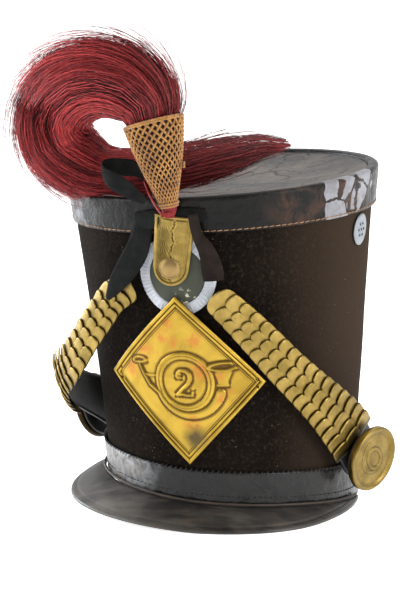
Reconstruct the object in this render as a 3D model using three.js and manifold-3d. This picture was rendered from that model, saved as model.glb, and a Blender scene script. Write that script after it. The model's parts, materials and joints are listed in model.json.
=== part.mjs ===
// A felt shako hat, in millimetres, +Z up, its front towards -Y. It stands on its base rim and on its peak.
import * as THREE from "three";
import Module from "manifold-3d";

// Driving dimensions
const BASE_HALF_WIDTH = 87.7;
const BASE_HALF_LENGTH = 97.5;
const TOP_HALF_WIDTH = 108.6;
const TOP_HALF_LENGTH = 114;
const RIM_HEIGHT = 231.6; // middle of the top rim above the floor
const RIM_TILT = 8.2; // how much the +X end of the top rim is higher than its middle
const LEAN = 7.8; // how far the top leans towards -X
const WAIST = 1.5; // how much the wall curves in at half height
const FELT = 2.4;
const LEATHER = 1.5;
const BRASS = 0.9;
const GAP = 0.3;
const CROWN_BAND = 0.11; // share of the wall that each band covers
const BASE_BAND = 0.115;
const DISH = 9; // how far the middle of the crown is below its rim
const ROUND = 64; // steps round the hat

const LOZENGE = { deg: -0.9, v: 0.412, halfWidth: 59.8, halfHeight: 61, sweep: 1.1, moulding: 7, rise: 1.3 };
const COCKADE = { deg: -0.4, v: 0.754, disc: 20.5, rim: 29, thick: 1.6 };
const HOLDER = { deg: -0.8, v: 0.838, width: 26, length: 50, stand: 4.4, lean: -8.5 };
const BUTTON = { below: 37.5, radius: 7.3, rise: 2.6 };
const CUP = { foot: 6.6, mouth: 21.5, wall: 2.4, deep: 12 };
const SCALES = { count: 17, pitch: 9.6, overlap: 3.6, lobeDepth: 3, lift: 2.1, arch: 2.2 };
const STRAP = { thick: 2, narrower: 4.2 };
const BOSS = { radius: 23.7, height: 6, post: 12, stand: 5.6 };
const VENT = { deg: 83, v: 0.833, radius: 10.4, thick: 1.2, hole: 1.1, ring: 4.2 };
const VISOR_THICK = 2.3;
const RIBBON_THICK = 0.8;

// How high the base rim is above the floor: its rear lies on the floor, and its front is lifted by the peak.
const RIM_LIFT = [
  { deg: -180, lift: 0 },
  { deg: -145, lift: 0 },
  { deg: -115, lift: 10 },
  { deg: -90, lift: 19 },
  { deg: -45, lift: 19 },
  { deg: 0, lift: 14 },
  { deg: 45, lift: 9 },
  { deg: 90, lift: 1.2 },
  { deg: 120, lift: 0 },
  { deg: 180, lift: 0 },
];

// The peak's outer edge: how far it reaches out from the rim, and how high it is above the floor.
const PEAK = [
  { deg: -91, reach: 1.2, edge: 17 },
  { deg: -78, reach: 12.5, edge: 13 },
  { deg: -68, reach: 21.5, edge: 9.5 },
  { deg: -60, reach: 25.8, edge: 7.6 },
  { deg: -49, reach: 29, edge: 5.8 },
  { deg: -36, reach: 30, edge: 4.7 },
  { deg: -21, reach: 29.2, edge: 3 },
  { deg: -5, reach: 28, edge: 1.1 },
  { deg: 6, reach: 28, edge: 0 },
  { deg: 18, reach: 28.5, edge: 0 },
  { deg: 32, reach: 28, edge: 0 },
  { deg: 44, reach: 24.3, edge: 0 },
  { deg: 61, reach: 14.3, edge: 0 },
  { deg: 82, reach: 4.8, edge: 0 },
  { deg: 93, reach: 1.2, edge: 0 },
];

// Middle lines of the two chin scales, from tip to boss. `face` is the direction that the plates face.
const RIGHT_SCALES = [
  { deg: 13.6, v: 0.698, off: 5.2, face: 15 },
  { deg: 22.3, v: 0.624, off: 5.4, face: 25 },
  { deg: 31.3, v: 0.543, off: 5.6, face: 34 },
  { deg: 40.5, v: 0.46, off: 6, face: 44 },
  { deg: 50.1, v: 0.386, off: 6.6, face: 52 },
  { deg: 60.4, v: 0.315, off: 7.6, face: 58 },
  { deg: 73.5, v: 0.222, off: 9.6, face: 63 },
  { deg: 82.5, v: 0.15, off: 11, face: 66 },
];
const LEFT_SCALES = [
  { deg: -17.1, v: 0.728, off: 5.2, face: -18 },
  { deg: -28.6, v: 0.668, off: 6.2, face: -28 },
  { deg: -33.9, v: 0.615, off: 8.5, face: -33 },
  { deg: -39.2, v: 0.549, off: 14, face: -38 },
  { deg: -43.6, v: 0.482, off: 20, face: -43 },
  { deg: -49, v: 0.42, off: 24.5, face: -47 },
  { deg: -60, v: 0.355, off: 26.5, face: -49 },
  { deg: -74, v: 0.285, off: 24, face: -54 },
  { deg: -87, v: 0.23, off: 17, face: -68 },
  { deg: -98, v: 0.185, off: 10, face: -87 },
];
const SCALE_WIDTHS = [
  { at: 0, width: 22 },
  { at: 0.2, width: 26 },
  { at: 0.55, width: 32 },
  { at: 0.85, width: 42 },
  { at: 1, width: 44 },
];

// The horsehair's middle line, out of the cup, over in an arc to -X and back behind the cup over the crown.
const HAIR = [
  { x: -19, y: -124, z: 283, wide: 15, deep: 15 },
  { x: -22, y: -122, z: 297, wide: 21, deep: 18 },
  { x: -36, y: -119, z: 309, wide: 24, deep: 21 },
  { x: -60, y: -114, z: 313, wide: 25, deep: 23 },
  { x: -84, y: -108, z: 304, wide: 26, deep: 23 },
  { x: -99, y: -101, z: 285, wide: 26, deep: 22 },
  { x: -97, y: -93, z: 264, wide: 21, deep: 20 },
  { x: -79, y: -83, z: 254, wide: 17, deep: 19 },
  { x: -57, y: -76, z: 249, wide: 16, deep: 19 },
  { x: -33, y: -70, z: 247, wide: 16, deep: 21 },
  { x: -10, y: -60, z: 248, wide: 15, deep: 21 },
  { x: 14, y: -47, z: 254, wide: 12, deep: 17 },
  { x: 31, y: -33, z: 258, wide: 7, deep: 11 },
  { x: 46, y: -18, z: 258, wide: 2.5, deep: 4 },
];

const rad = THREE.MathUtils.degToRad;
const vec = (x, y, z) => new THREE.Vector3(x, y, z);

// The smooth value of one column of a table at a place along another.
function column(table, along, name) {
  const at = table.map((row) => row[along]);
  const slope = (i) => {
    const a = Math.max(i - 1, 0);
    const b = Math.min(i + 1, table.length - 1);
    return (table[b][name] - table[a][name]) / (at[b] - at[a]);
  };
  return (x) => {
    const clamped = THREE.MathUtils.clamp(x, at[0], at[at.length - 1]);
    const i = Math.min(at.filter((a) => a <= clamped).length - 1, table.length - 2);
    const span = at[i + 1] - at[i];
    const t = (clamped - at[i]) / span;
    const rise = table[i + 1][name] - table[i][name];
    const s0 = slope(i) * span;
    const s1 = slope(i + 1) * span;
    return table[i][name] + t * (s0 + t * (3 * rise - 2 * s0 - s1 + t * (s0 + s1 - 2 * rise)));
  };
}

const liftAt = column(RIM_LIFT, "deg", "lift");

// A point of the hat's wall: deg is the direction from the front towards +X, v the height from base 0 to
// rim 1, and off the distance outside the felt.
function onHat(deg, v, off = 0) {
  const turn = rad(deg);
  const pinch = WAIST * 4 * v * (1 - v);
  const halfWidth = THREE.MathUtils.lerp(BASE_HALF_WIDTH, TOP_HALF_WIDTH, v) - pinch + off;
  const halfLength = THREE.MathUtils.lerp(BASE_HALF_LENGTH, TOP_HALF_LENGTH, v) - pinch + off;
  const wrapped = THREE.MathUtils.euclideanModulo(deg + 180, 360) - 180;
  const low = Math.max(liftAt(wrapped), 0);
  const high = RIM_HEIGHT + RIM_TILT * Math.sin(turn);
  return vec(
    halfWidth * Math.sin(turn) - LEAN * v,
    -halfLength * Math.cos(turn),
    THREE.MathUtils.lerp(low, high, v),
  );
}

// Millimetres along the wall about a point of it: right along the hat, up, and out.
function aboutPoint(deg, v) {
  const radius = THREE.MathUtils.lerp(BASE_HALF_LENGTH, TOP_HALF_LENGTH, v);
  const perDegree = rad(1) * radius * 0.97;
  return (right, up, out) => onHat(deg + right / perDegree, v + up / (RIM_HEIGHT - 12), out);
}

function solid(positions, index) {
  const geometry = new THREE.BufferGeometry();
  geometry.setAttribute("position", new THREE.Float32BufferAttribute(positions, 3));
  const corner = (i) => vec(...positions.slice(3 * index[i], 3 * index[i] + 3));
  let volume = 0;
  for (let i = 0; i < index.length; i += 3) {
    volume += corner(i).dot(corner(i + 1).cross(corner(i + 2)));
  }
  if (volume < 0) index.reverse();
  geometry.setIndex(index);
  geometry.computeVertexNormals();
  return geometry;
}

// A body through rings of points, each a closed loop. The ends are capped, unless the rings form a loop.
function loft(rings, closed = false) {
  const size = rings[0].length;
  const positions = rings.flat().flatMap((p) => p.toArray());
  const index = [];
  const steps = closed ? rings.length : rings.length - 1;
  for (let i = 0; i < steps; i++) {
    for (let j = 0; j < size; j++) {
      const next = ((i + 1) % rings.length) * size;
      const a = i * size + j;
      const b = i * size + ((j + 1) % size);
      const c = next + ((j + 1) % size);
      const d = next + j;
      index.push(a, b, c, a, c, d);
    }
  }
  if (!closed) {
    for (const [ring, start, turn] of [[rings[0], 0, 1], [rings.at(-1), (rings.length - 1) * size, 0]]) {
      const middle = ring.reduce((sum, p) => sum.add(p), vec(0, 0, 0)).divideScalar(size);
      const centre = positions.length / 3;
      positions.push(...middle.toArray());
      for (let j = 0; j < size; j++) {
        const a = start + j;
        const b = start + ((j + 1) % size);
        index.push(...(turn ? [b, a, centre] : [a, b, centre]));
      }
    }
  }
  return solid(positions, index);
}

// A sheet with a front and a back: both are functions of i and j that give a point.
function slab(columns, rows, front, back) {
  const rings = [];
  for (let i = 0; i <= columns; i++) {
    const ring = [];
    for (let j = 0; j <= rows; j++) ring.push(front(i / columns, j / rows));
    for (let j = rows; j >= 0; j--) ring.push(back(i / columns, j / rows));
    rings.push(ring);
  }
  return stripLoft(rings, rows);
}

// Like loft, with end caps made of strips, so that flat ends stay flat.
function stripLoft(rings, rows) {
  const size = rings[0].length;
  const positions = rings.flat().flatMap((p) => p.toArray());
  const index = [];
  for (let i = 0; i + 1 < rings.length; i++) {
    for (let j = 0; j < size; j++) {
      const a = i * size + j;
      const b = i * size + ((j + 1) % size);
      index.push(a, b, b + size, a, b + size, a + size);
    }
  }
  const last = (rings.length - 1) * size;
  for (let j = 0; j < rows; j++) {
    const across = size - 1 - j;
    index.push(j, across, across - 1, j, across - 1, j + 1);
    index.push(last + j, last + across - 1, last + across, last + j, last + j + 1, last + across - 1);
  }
  return solid(positions, index);
}

// A band all the way round the hat. The profile is a closed loop of [v, off].
function band(profile, steps = ROUND) {
  const rings = [];
  for (let i = 0; i < steps; i++) {
    const deg = (360 * i) / steps - 180;
    rings.push(profile.map(([v, off]) => onHat(deg, v, off)));
  }
  return loft(rings, true);
}

const brass = (color = 0xb08d2e) => new THREE.MeshStandardMaterial({ color, metalness: 1, roughness: 0.38 });
const leather = (color) => new THREE.MeshStandardMaterial({ color, roughness: 0.45 });
const cloth = (color) => new THREE.MeshStandardMaterial({ color, roughness: 0.9 });

const hat = new THREE.Group();
function add(name, geometry, material) {
  const mesh = new THREE.Mesh(geometry, material);
  mesh.name = name;
  hat.add(mesh);
}

function feltBody() {
  const levels = [0.004, 0.2, 0.4, 0.6, 0.8, 0.985];
  const outside = levels.map((v) => [v, 0]);
  const inside = [0.985, 0.5, 0.004].map((v) => [v, -FELT]);
  return band([...outside, ...inside]);
}

function crownBand() {
  const seam = 1 - CROWN_BAND;
  return band([
    [seam, GAP],
    [0.99, GAP],
    [0.99, -6],
    [1.002, -6],
    [1.006, 0.2],
    [0.996, GAP + LEATHER],
    [seam, GAP + LEATHER],
  ]);
}

// The crown is a dished disc that stands inside the band's turned top edge.
function crownTop() {
  const edge = -6 - GAP;
  const ring = (share, sink) => {
    const points = [];
    for (let i = 0; i < ROUND; i++) {
      const rim = onHat((360 * i) / ROUND - 180, 0.997, edge);
      const middle = vec(-LEAN, 0, RIM_HEIGHT - 0.7);
      const point = middle.clone().lerp(rim, share);
      point.z -= sink;
      points.push(point);
    }
    return points;
  };
  const dip = (share) => DISH * (1 - share ** 2);
  return loft([
    ring(0.12, dip(0.12) + LEATHER),
    ring(0.55, dip(0.55) + LEATHER),
    ring(0.9, dip(0.9) + LEATHER),
    ring(1, LEATHER),
    ring(1, 0),
    ring(0.9, dip(0.9)),
    ring(0.55, dip(0.55)),
    ring(0.12, dip(0.12)),
  ]);
}

function baseBand() {
  return band([
    [0, GAP],
    [BASE_BAND, GAP],
    [BASE_BAND, GAP + LEATHER * 0.7],
    [BASE_BAND - 0.02, GAP + LEATHER],
    [0.04, GAP + LEATHER],
    [0, GAP + LEATHER + 0.4],
  ]);
}

// The peak hangs from the base rim between its two ends.
function peak() {
  const reach = column(PEAK, "deg", "reach");
  const edge = column(PEAK, "deg", "edge");
  const steps = 40;
  const start = PEAK[0].deg;
  const end = PEAK.at(-1).deg;
  const rings = [];
  for (let i = 0; i <= steps; i++) {
    const deg = start + ((end - start) * i) / steps;
    const root = onHat(deg, 0.008, 3.6);
    root.z = Math.max(root.z - 0.6, VISOR_THICK + 0.4);
    const along = onHat(deg + 0.5, 0, 0).sub(onHat(deg - 0.5, 0, 0)).setZ(0).normalize();
    const out = vec(along.y, -along.x, 0);
    const far = Math.max(edge(deg), 0);
    const at = (share, top) => {
      const point = root.clone().addScaledVector(out, share * reach(deg));
      const crown = 1.1 * Math.sin(Math.PI * share) * Math.min(1, reach(deg) / 20);
      point.z = THREE.MathUtils.lerp(root.z - VISOR_THICK, far, share) + crown + (top ? VISOR_THICK : 0);
      return point;
    };
    rings.push([at(0, true), at(0.35, true), at(0.7, true), at(0.97, true), at(1, true).add(vec(0, 0, -0.7)),
      at(1, false), at(0.7, false), at(0.35, false), at(0, false)]);
  }
  return loft(rings);
}

// The thin piping that lies on the peak's root, against the base band.
function welt() {
  const steps = 36;
  const rings = [];
  for (let i = 0; i <= steps; i++) {
    const deg = THREE.MathUtils.lerp(PEAK[0].deg + 2, PEAK.at(-1).deg - 2, i / steps);
    const centre = onHat(deg, 0.008, 3.75);
    centre.z = Math.max(centre.z - 0.6, VISOR_THICK + 0.4) + GAP + 1.15;
    const out = onHat(deg, 0.008, 4.75).sub(onHat(deg, 0.008, 3.75)).normalize();
    const ring = [];
    for (let k = 0; k < 6; k++) {
      const turn = (Math.PI * k) / 3;
      const point = centre.clone().addScaledVector(out, 1.1 * Math.cos(turn));
      ring.push(point.add(vec(0, 0, 1.05 * Math.sin(turn))));
    }
    rings.push(ring);
  }
  return loft(rings);
}

// A brass lozenge bent round the felt, with a raised moulding along its edges.
function frontPlate() {
  const place = aboutPoint(LOZENGE.deg, LOZENGE.v);
  const side = Math.hypot(LOZENGE.halfWidth, LOZENGE.halfHeight);
  const inset = LOZENGE.moulding / side;
  const near = [0, 0.25 * inset, 0.75 * inset, inset, 0.3];
  const lines = [...near, 0.5, ...near.map((line) => 1 - line).reverse()];
  const raised = [0.3, 1, 1, 0, 0, 0, 0, 0, 1, 1, 0.3];
  const steps = lines.length - 1;
  const at = (s, t, out) => {
    const right = LOZENGE.halfWidth * (s - t);
    const up = LOZENGE.halfHeight * (1 - s - t);
    return place(right + LOZENGE.sweep * (s + t) ** 2, up, out);
  };
  const stand = COCKADE.thick + 3.2;
  const front = (a, b) => {
    const i = Math.round(a * steps);
    const j = Math.round(b * steps);
    const rise = Math.max(raised[i], raised[j]) * LOZENGE.rise;
    return at(lines[i], lines[j], stand + BRASS + rise);
  };
  const back = (a, b) => at(lines[Math.round(a * steps)], lines[Math.round(b * steps)], stand);
  return slab(steps, steps, front, back);
}

// Rings of points about the cockade's middle.
function roundPatch(deg, v, radius, out, steps = 32) {
  const place = aboutPoint(deg, v);
  const points = [];
  for (let i = 0; i < steps; i++) {
    const turn = (2 * Math.PI * i) / steps;
    points.push(place(radius * Math.sin(turn), radius * Math.cos(turn), out));
  }
  return points;
}

function cockadeDisc() {
  const ring = (radius, out) => roundPatch(COCKADE.deg, COCKADE.v, radius, out);
  const top = GAP + COCKADE.thick;
  return loft([
    ring(4, GAP), ring(12, GAP), ring(COCKADE.disc, GAP),
    ring(COCKADE.disc, top), ring(12, top + 0.5), ring(4, top + 0.6),
  ]);
}

function cockadeRim() {
  const inner = COCKADE.disc + GAP;
  const top = GAP + COCKADE.thick;
  const steps = 48;
  const place = aboutPoint(COCKADE.deg, COCKADE.v);
  const rings = [];
  for (let i = 0; i < steps; i++) {
    const turn = (2 * Math.PI * i) / steps;
    const flute = i % 2 ? 0.5 : 0;
    const at = (radius, out) => place(radius * Math.sin(turn), radius * Math.cos(turn), out);
    rings.push([at(inner, GAP), at(inner, top), at(COCKADE.rim, top + 0.2 - flute), at(COCKADE.rim, GAP)]);
  }
  return loft(rings, true);
}

// The tongue that holds the plume: flat at its top and round at its foot, with a raised edge.
function holderPlace() {
  const place = aboutPoint(HOLDER.deg, HOLDER.v);
  const lean = rad(HOLDER.lean);
  return (right, up, out) =>
    place(right * Math.cos(lean) - up * Math.sin(lean), right * Math.sin(lean) + up * Math.cos(lean), out);
}

function plumeHolder() {
  const place = holderPlace();
  const half = HOLDER.width / 2;
  const straight = HOLDER.length - half;
  const rows = 14;
  const rings = [];
  for (let i = 0; i <= rows; i++) {
    const down = i < 7 ? (straight * i) / 7 : straight + half * Math.sin((Math.PI / 2) * ((i - 7) / 7.4));
    const reach = i < 7 ? half + 1.2 * (1 - i / 7) : Math.sqrt(half ** 2 - (down - straight) ** 2);
    const up = HOLDER.length / 2 - down;
    const rim = Math.min(2, reach * 0.4);
    const bow = (x) => 1.6 * (1 - (x / half) ** 2);
    const at = (x, out) => place(x, up, HOLDER.stand + out + bow(x));
    rings.push([
      at(-reach, 0), at(-reach, BRASS + 0.7), at(-reach + rim, BRASS + 0.7), at(-reach + rim * 1.3, BRASS),
      at(0, BRASS), at(reach - rim * 1.3, BRASS), at(reach - rim, BRASS + 0.7), at(reach, BRASS + 0.7),
      at(reach, 0), at(reach / 2, 0), at(0, 0), at(-reach / 2, 0),
    ]);
  }
  return loft(rings);
}

function holderButton() {
  const place = holderPlace();
  const stand = HOLDER.stand + BRASS + 1.6 + GAP;
  const ring = (radius, out) => {
    const points = [];
    for (let i = 0; i < 20; i++) {
      const turn = (2 * Math.PI * i) / 20;
      const up = HOLDER.length / 2 - BUTTON.below + radius * Math.cos(turn);
      points.push(place(radius * Math.sin(turn), up, stand + out));
    }
    return points;
  };
  const r = BUTTON.radius;
  const rise = BUTTON.rise;
  return loft([ring(r * 0.4, 0), ring(r, 0), ring(r, 1), ring(r * 0.8, rise * 0.7), ring(r * 0.4, rise)]);
}

// A ring of points square to a direction.
function hoop(centre, direction, wide, deep, steps) {
  const forward = direction.clone().normalize();
  const side = vec(0, 1, 0).addScaledVector(forward, -forward.y).normalize();
  const up = side.clone().cross(forward);
  const points = [];
  for (let i = 0; i < steps; i++) {
    const turn = (2 * Math.PI * i) / steps;
    const point = centre.clone().addScaledVector(up, wide * Math.cos(turn));
    points.push(point.addScaledVector(side, deep * Math.sin(turn)));
  }
  return points;
}

const CUP_FOOT = vec(-7.6, -124, 229);
const CUP_MOUTH = vec(-18.5, -124, 287);
const CUP_MOUTH_FACE = vec(-0.3, 0.12, 1);

// The woven cup: a cone with an oblique mouth, open above.
function plumeCup() {
  const steps = 24;
  const at = (share, shrink) => {
    const centre = CUP_FOOT.clone().lerp(CUP_MOUTH, share);
    const stem = CUP_MOUTH.clone().sub(CUP_FOOT).normalize();
    const face = stem.lerp(CUP_MOUTH_FACE.clone().normalize(), share ** 2);
    const belly = 1 + 0.08 * Math.sin(Math.PI * share);
    const radius = THREE.MathUtils.lerp(CUP.foot, CUP.mouth, share) * belly - shrink;
    return hoop(centre, face, radius, radius * 0.92, steps);
  };
  const inner = (share) => at(share, CUP.wall);
  const low = CUP.deep / CUP_MOUTH.distanceTo(CUP_FOOT);
  return loft([at(0, 0), at(0.25, 0), at(0.5, 0), at(0.75, 0), at(1, 0), inner(1), inner(0.7), inner(low)]);
}

// The bound roots of the hair between the cup's foot and the holder.
function plumeRoot() {
  const top = CUP_FOOT.clone().add(vec(0.2, 0, -GAP - 1.6));
  const low = vec(-8.4, -124.6, 215);
  const down = top.clone().sub(low);
  const at = (share, radius) => hoop(low.clone().lerp(top, share), down, radius, radius * 0.5, 12);
  return loft([at(0, 4.5), at(0.4, 5.4), at(0.8, 5.8), at(1, 5.6)]);
}

function plumeHair() {
  const line = new THREE.CatmullRomCurve3(HAIR.map((row) => vec(row.x, row.y, row.z)));
  const steps = 36;
  const numbered = HAIR.map((row, i) => ({ ...row, at: i / (HAIR.length - 1) }));
  const wide = column(numbered, "at", "wide");
  const deep = column(numbered, "at", "deep");
  const rings = [];
  for (let i = 0; i <= steps; i++) {
    const t = i / steps;
    rings.push(hoop(line.getPoint(t), line.getTangent(t), wide(t), deep(t), 16));
  }
  return loft(rings);
}

// A ribbon along a line of points. `rows` give its width and the direction it faces at each.
function ribbon(points, rows, steps) {
  const line = new THREE.CatmullRomCurve3(points);
  const numbered = rows.map((row, i) => ({ ...row, at: i / (rows.length - 1) }));
  const width = column(numbered, "at", "width");
  const face = column(numbered, "at", "face");
  const at = (t, across, lift) => {
    const forward = line.getTangent(t);
    const turn = rad(face(t));
    const facing = vec(Math.sin(turn), -Math.cos(turn), 0);
    const out = facing.addScaledVector(forward, -facing.dot(forward)).normalize();
    const side = out.clone().cross(forward);
    return line.getPoint(t).addScaledVector(side, (across - 0.5) * width(t)).addScaledVector(out, lift);
  };
  return slab(steps, 2, (t, a) => at(t, a, RIBBON_THICK), (t, a) => at(t, a, 0));
}

function tail(rows) {
  return ribbon(rows.map((row) => onHat(row.deg, row.v, row.off)), rows, 14);
}

const RIBBON_LEFT = [
  { deg: -11.2, v: 0.955, off: 2.4, width: 8, face: -8 },
  { deg: -12.4, v: 0.915, off: 3, width: 11, face: -10 },
  { deg: -15.2, v: 0.84, off: 5.5, width: 14, face: -13 },
  { deg: -20.2, v: 0.765, off: 10.5, width: 14, face: -18 },
  { deg: -23.6, v: 0.715, off: 14, width: 11, face: -21 },
  { deg: -26.6, v: 0.672, off: 15.5, width: 4, face: -24 },
];
const RIBBON_RIGHT = [
  { deg: 7.9, v: 0.96, off: 9, width: 7, face: 4 },
  { deg: 9.2, v: 0.891, off: 8, width: 8, face: 6 },
  { deg: 12.2, v: 0.835, off: 7, width: 12, face: 9 },
  { deg: 13.8, v: 0.775, off: 6, width: 15, face: 12 },
  { deg: 14, v: 0.74, off: 4.6, width: 14, face: 13 },
];
// The bow's loop leaves the knot to -X, and folds back behind itself.
const RIBBON_BOW = [
  { x: -23.1, y: -129, z: 232.5, width: 5, face: 15 },
  { x: -27.5, y: -133, z: 236.4, width: 8, face: 15 },
  { x: -33.6, y: -136, z: 241.1, width: 11, face: 12 },
  { x: -42.7, y: -137, z: 246.7, width: 12, face: 0 },
  { x: -49.5, y: -134, z: 250, width: 10, face: -40 },
  { x: -53, y: -129, z: 252.2, width: 9, face: -90 },
  { x: -52.3, y: -124, z: 254.2, width: 10, face: -140 },
  { x: -43.3, y: -120.5, z: 253.8, width: 12, face: -172 },
  { x: -34.7, y: -118, z: 252.1, width: 11, face: -180 },
  { x: -28, y: -116.5, z: 247, width: 4, face: -185 },
];

function ribbonBow() {
  return ribbon(RIBBON_BOW.map((row) => vec(row.x, row.y, row.z)), RIBBON_BOW, 24);
}

// A chin scale's own frame: along its middle line in millimetres, across it, and up from its leather.
function scaleFrame(rows) {
  const line = new THREE.CatmullRomCurve3(rows.map((row) => onHat(row.deg, row.v, row.off)));
  line.arcLengthDivisions = 400;
  const length = line.getLength();
  const numbered = rows.map((row, i) => ({ ...row, at: i / (rows.length - 1) }));
  const face = column(numbered, "at", "face");
  const width = column(SCALE_WIDTHS, "at", "width");
  const point = (along, across, up) => {
    const u = THREE.MathUtils.clamp(along / length, 0, 1);
    const t = line.getUtoTmapping(u);
    const forward = line.getTangent(t);
    const turn = rad(face(t));
    const outward = vec(Math.sin(turn), -Math.cos(turn), -0.14);
    const out = outward.addScaledVector(forward, -outward.dot(forward)).normalize();
    const side = out.clone().cross(forward);
    return line.getPoint(t).addScaledVector(side, across).addScaledVector(out, up);
  };
  return { length, point, width: (along) => width(along / length) };
}

// How far a plate's tip edge is cut back between its lobes, for a place across it from -1 to 1.
function scallop(across, lobes) {
  if (lobes === 1) return 8 * (1 - Math.sqrt(Math.max(0, 1 - across ** 2)));
  const within = (((across + 1) / 2) * lobes) % 1;
  const bulge = across >= 1 ? 0 : Math.sqrt(Math.max(0, 1 - (2 * within - 1) ** 2));
  return SCALES.lobeDepth * (1 - bulge);
}

function scalePlate(frame, number) {
  const start = number * SCALES.pitch;
  const lobes = number === 0 ? 1 : number === 1 ? 2 : 3;
  const end = Math.min(start + SCALES.pitch + SCALES.overlap, frame.length - BOSS.post - 1.5);
  const slope = SCALES.lift / (SCALES.pitch + SCALES.overlap);
  const columns = lobes === 2 ? 8 : 9;
  const at = (a, b, thick) => {
    const across = 2 * a - 1;
    const front = start + scallop(across, lobes);
    const along = THREE.MathUtils.lerp(front, Math.max(end, front + 2), b);
    const arch = SCALES.arch * (1 - across ** 2);
    const up = GAP + SCALES.lift + 0.1 - slope * (along - start) + arch + thick;
    return frame.point(along, (across * frame.width(start + 5)) / 2, up);
  };
  return slab(columns, 1, (a, b) => at(a, b, BRASS * 0.85), (a, b) => at(a, b, 0));
}

function strapLeather(frame) {
  const from = 7;
  const to = frame.length + 10;
  const at = (a, b, up) => {
    const along = THREE.MathUtils.lerp(from, to, a);
    const half = frame.width(along) / 2 - STRAP.narrower;
    const past = Math.max(0, along - frame.length);
    const onward = frame.point(frame.length, 0, 0).sub(frame.point(frame.length - 1, 0, 0));
    const across = 2 * b - 1;
    const arch = SCALES.arch * (1 - across ** 2);
    const round = past > 0 ? Math.sqrt(1 - (past / 12) ** 2) : 1;
    return frame.point(along, across * half * round, up + arch).addScaledVector(onward, past);
  };
  return slab(22, 2, (a, b) => at(a, b, 0), (a, b) => at(a, b, -STRAP.thick));
}

// A dished round boss on a short post.
function boss(frame) {
  const ring = (radius, up) => {
    const points = [];
    const centre = frame.point(frame.length, 0, SCALES.arch);
    const out = frame.point(frame.length, 0, SCALES.arch + 1).sub(centre);
    const side = frame.point(frame.length, 1, SCALES.arch).sub(centre);
    const along = side.clone().cross(out);
    for (let i = 0; i < 28; i++) {
      const turn = (2 * Math.PI * i) / 28;
      points.push(centre.clone().addScaledVector(side, radius * Math.cos(turn))
        .addScaledVector(along, radius * Math.sin(turn)).addScaledVector(out, up));
    }
    return points;
  };
  const { radius, height, post, stand } = BOSS;
  const top = stand + height;
  return loft([
    ring(4, GAP * 2), ring(post, GAP * 2), ring(post, stand - 1), ring(radius - 3, stand),
    ring(radius, stand + 1.2), ring(radius, top - 0.6), ring(radius - 1.4, top), ring(radius - 3.4, top - 1),
    ring(radius - 9, top - 1.6), ring(6, top - 1.2),
  ]);
}

const wasm = await Module();
wasm.setup();

function toSolid(geometry) {
  const vertProperties = new Float32Array(geometry.getAttribute("position").array);
  const triVerts = new Uint32Array(geometry.index.array);
  return new wasm.Manifold(new wasm.Mesh({ numProp: 3, vertProperties, triVerts }));
}

function fromSolid(made) {
  const mesh = made.getMesh();
  const geometry = new THREE.BufferGeometry();
  geometry.setAttribute("position", new THREE.Float32BufferAttribute(mesh.vertProperties, 3));
  geometry.setIndex(new THREE.Uint32BufferAttribute(mesh.triVerts, 1));
  geometry.computeVertexNormals();
  return geometry;
}

// A ventilation disc with one hole in the middle and six round it.
function vent(side) {
  const deg = side * VENT.deg;
  const disc = loft([
    roundPatch(deg, VENT.v, 3, GAP, 20), roundPatch(deg, VENT.v, VENT.radius, GAP, 20),
    roundPatch(deg, VENT.v, VENT.radius, GAP + VENT.thick * 0.6, 20),
    roundPatch(deg, VENT.v, VENT.radius - 1.2, GAP + VENT.thick, 20),
    roundPatch(deg, VENT.v, 3, GAP + VENT.thick, 20),
  ]);
  const place = aboutPoint(deg, VENT.v);
  const drill = (right, up) => {
    const ring = (out) => {
      const points = [];
      for (let i = 0; i < 6; i++) {
        const turn = (Math.PI * i) / 3;
        points.push(place(right + VENT.hole * Math.cos(turn), up + VENT.hole * Math.sin(turn), out));
      }
      return points;
    };
    return toSolid(loft([ring(-1), ring(4)]));
  };
  let made = toSolid(disc).subtract(drill(0, 0));
  for (let i = 0; i < 6; i++) {
    const turn = (Math.PI * i) / 3;
    made = made.subtract(drill(VENT.ring * Math.cos(turn), VENT.ring * Math.sin(turn)));
  }
  return fromSolid(made);
}

add("felt_body", feltBody(), cloth(0x2a221d));
add("crown_top", crownTop(), leather(0x3a3735));
add("crown_band", crownBand(), leather(0x26252b));
add("base_band", baseBand(), leather(0x1b1a1f));
add("base_welt", welt(), leather(0x6b5138));
add("visor", peak(), leather(0x1c1816));
add("front_plate", frontPlate(), brass(0xc79a2c));
add("cockade_disc", cockadeDisc(), cloth(0x4e5a4c));
add("cockade_rim", cockadeRim(), cloth(0xc9cdd2));
add("plume_holder", plumeHolder(), brass());
add("holder_button", holderButton(), brass());
add("plume_cup", plumeCup(), cloth(0x9a6a25));
add("plume_root", plumeRoot(), cloth(0x8c1020));
add("plume_hair", plumeHair(), cloth(0x8f0f26));
add("ribbon_bow", ribbonBow(), cloth(0x14110f));
add("ribbon_left", tail(RIBBON_LEFT), cloth(0x1b1713));
add("ribbon_right", tail(RIBBON_RIGHT), cloth(0x1b1713));

for (const [side, rows] of [["right", RIGHT_SCALES], ["left", LEFT_SCALES]]) {
  const frame = scaleFrame(rows);
  add(`strap_${side}`, strapLeather(frame), leather(0x1a1614));
  for (let i = 0; i < SCALES.count; i++) {
    add(`scale_${side}_${String(i + 1).padStart(2, "0")}`, scalePlate(frame, i), brass(0xa8893c));
  }
  add(`boss_${side}`, boss(frame), brass());
  add(`vent_${side}`, vent(side === "right" ? 1 : -1), brass(0xb9bcc0));
}

// The part's origin is the middle of its box, on the floor.
const box = new THREE.Box3().setFromObject(hat);
const middle = box.getCenter(vec(0, 0, 0));
hat.position.set(-middle.x, -middle.y, -box.min.z);

export default hat;
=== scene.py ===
"""A felt shako hat on a pale floor. Shapes are worked out in millimetres in the hat's own frame, which is the
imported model's frame moved so that the hat's axis stands on its origin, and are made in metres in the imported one."""
import json
import math

import bpy
import numpy as np
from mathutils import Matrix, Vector, noise


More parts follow.
